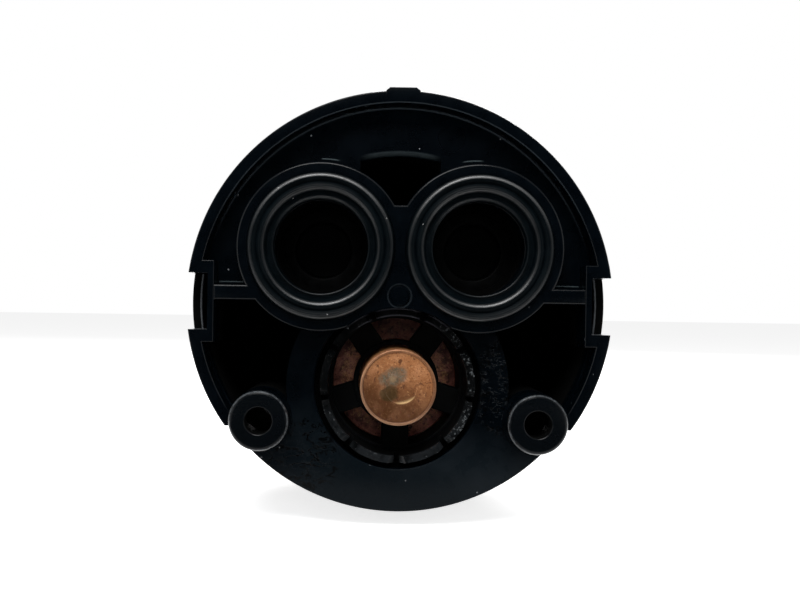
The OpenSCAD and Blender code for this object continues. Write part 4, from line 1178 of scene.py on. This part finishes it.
outline = [(0, SPINDLE_FRONT), (3.7, SPINDLE_FRONT)]
for i in range(THREADS):
    start = SPINDLE_FRONT + 0.3 + i * THREAD_PITCH
    outline += [(THREAD_ROOT_R, start), (THREAD_R, start + 0.35), (THREAD_R, start + 0.75),
                (THREAD_ROOT_R, start + 1.1)]
outline += [(THREAD_ROOT_R, COLLAR_FRONT - 1.2), (THREAD_R, COLLAR_FRONT - 0.9), (THREAD_R, COLLAR_FRONT),
            (7, COLLAR_FRONT, 0.2), (7, COLLAR_FRONT + COLLAR_T, 0.2), (SHAFT_R, COLLAR_FRONT + COLLAR_T)]
for groove in GROOVES:
    outline += [(SHAFT_R, groove, 0.1), (GROOVE_R, groove, 0.15), (GROOVE_R, groove + GROOVE_W, 0.15),
                (SHAFT_R, groove + GROOVE_W, 0.1)]
outline += [(SHAFT_R, CLIP_FRONT), (END_R, CLIP_FRONT), (END_R, CLIP_FRONT + CLIP_T),
            (SHAFT_R, CLIP_FRONT + CLIP_T), (SHAFT_R, STOP_FRONT), (END_R, STOP_FRONT + 0.05),
            (END_R, SPINDLE_END, 0.4), (0, SPINDLE_END)]
spindle = turned(outline, AXIS, 128, 4)
tooth = prism([(3.8, -0.42), (4.9, -0.2), (4.9, 0.2), (3.8, 0.42)], STOP_FRONT - 0.1, SPINDLE_END)
tip = box(2, 6, -1, 1, -0.6, 1)
tip.data.transform(Matrix.Translation((4.9, 0, SPINDLE_END)) @ Matrix.Rotation(radians(45), 4, "Y")
                   @ Matrix.Translation((-4, 0, 0.45)))
teeth = row_of(fitted(tooth, cut=[tip]), SPLINES, 0, 0, 360 / SPLINES, turned_brass)
hole = [(0, SPINDLE_END - KNOB_HOLE), (KNOB_HOLE_R, SPINDLE_END - KNOB_HOLE + 0.6)]
for i in range(int(KNOB_HOLE / KNOB_PITCH) - 2):
    start = SPINDLE_END - KNOB_HOLE + 0.7 + i * KNOB_PITCH
    hole += [(KNOB_HOLE_R, start), (KNOB_HOLE_R + 0.28, start + KNOB_PITCH / 2)]
hole += [(KNOB_HOLE_R, SPINDLE_END - 0.9), (KNOB_HOLE_R, SPINDLE_END - 0.45),
         (KNOB_HOLE_R + 0.5, SPINDLE_END), (KNOB_HOLE_R + 0.5, SPINDLE_END + 1), (0, SPINDLE_END + 1)]
spindle = fitted(spindle, joined=[teeth], cut=[lathe(hole, AXIS, 48)])
dress(spindle, "splined_spindle", "spindle", "bonnet_brass", turned_brass, "spindle", crease=20)


# The stop ring and the clip: a red acetal ring whose lug runs between the ends of the
# bonnet's lug, and the steel clip under it that keeps the spindle in the bonnet.
STOP_BORE_R = 4.95
front, back = STOP_FRONT + 0.01, STOP_FRONT + STOP_T - 0.01
stop = turned([(STOP_BORE_R, front), (STOP_RING_R, front, 0.3), (STOP_RING_R, back, 0.5),
               (STOP_BORE_R, back, 0.3)], AXIS)
stop = fitted(stop, joined=[lug(-90, STOP_RING_R - 0.4, LUG_R, front, back, 0.25)])
stop_red = clouded(
    "stop_red", (0.42, 0.02, 0.015), 0.4, 0.0, cloud=(260, 4, 0.6, 5.1), relief=(4200, 2, 0.5, 5.4),
    depth=0.00004, tones=((0.34, 0.014, 0.011), (0.5, 0.03, 0.02)), gloss=(0.33, 0.5))
dress(stop, "stop_collar", "spindle", "stop_red", stop_red, "stop_ring", crease=30)

clip = ring(END_R + 0.05, 7.6, CLIP_FRONT + 0.02, CLIP_FRONT + CLIP_T - 0.02, steps=96)
clip = bevelled(fitted(clip, cut=[box(-3, 3, AXIS_Y - 12, AXIS_Y, 60, 75)]), 0.12)
dress(clip, "spindle_snap_clip", "spindle", "bright_steel", bright_steel, "spindle_clip", crease=28)


# The springs inside: the coil that lets the plunger give way when the outlet is shut hot,
# and the wide coil that sends the shuttle back; both of hard-drawn steel wire.
overload_coil = coil_spring("overload_coil", radius=5.45, wire=0.6, front=38.7, back=46.5, turns=3.0,
                            centre=AXIS)
dress(overload_coil, "overload_coil", "setting_nut", "bright_steel", spring_steel, "overload_spring")
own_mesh(overload_coil)
return_coil = coil_spring("return_coil", radius=14.3, wire=0.5, front=22.01, back=28.49, turns=3.5,
                          centre=AXIS)
dress(return_coil, "return_coil", "housing", "bright_steel", spring_steel, "return_spring")
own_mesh(return_coil)


# The inner pieces keep their CAD solids, which are hidden in the closed cartridge, and
# take the finishes of acetal, brass, steel, rubber and black nylon.
acetal_white, shader, bsdf = plain_material("acetal_white", (0.7, 0.69, 0.64), 0.38)
cloud = grain(shader, 240, 4, 0.6, 6.1)
surface(bsdf, blended(cloud.to(0.3, 0.7), (0.64, 0.63, 0.57), (0.76, 0.75, 0.7)),
        cloud.to(0.3, 0.7, 0.32, 0.46), grain(shader, 3800, 3, 0.5, 6.3), 0.00003)

INNER_FINISHES = {
    seal_rubber: ("shuttle_seal", "port_gasket", "check_seals", "bonnet_seal", "spindle_seals"),
    acetal_white: ("shuttle", "setting_nut", "thrust_washer"),
    turned_brass: ("capsule_guide", "seat_plate", "overload_plunger"),
    bright_steel: ("capsule_piston", "plunger_clip"),
    housing_black: ("valve_body",),
}
for finish, names in INNER_FINISHES.items():
    for name in names:
        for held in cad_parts[name].material_slots:
            held.material = finish
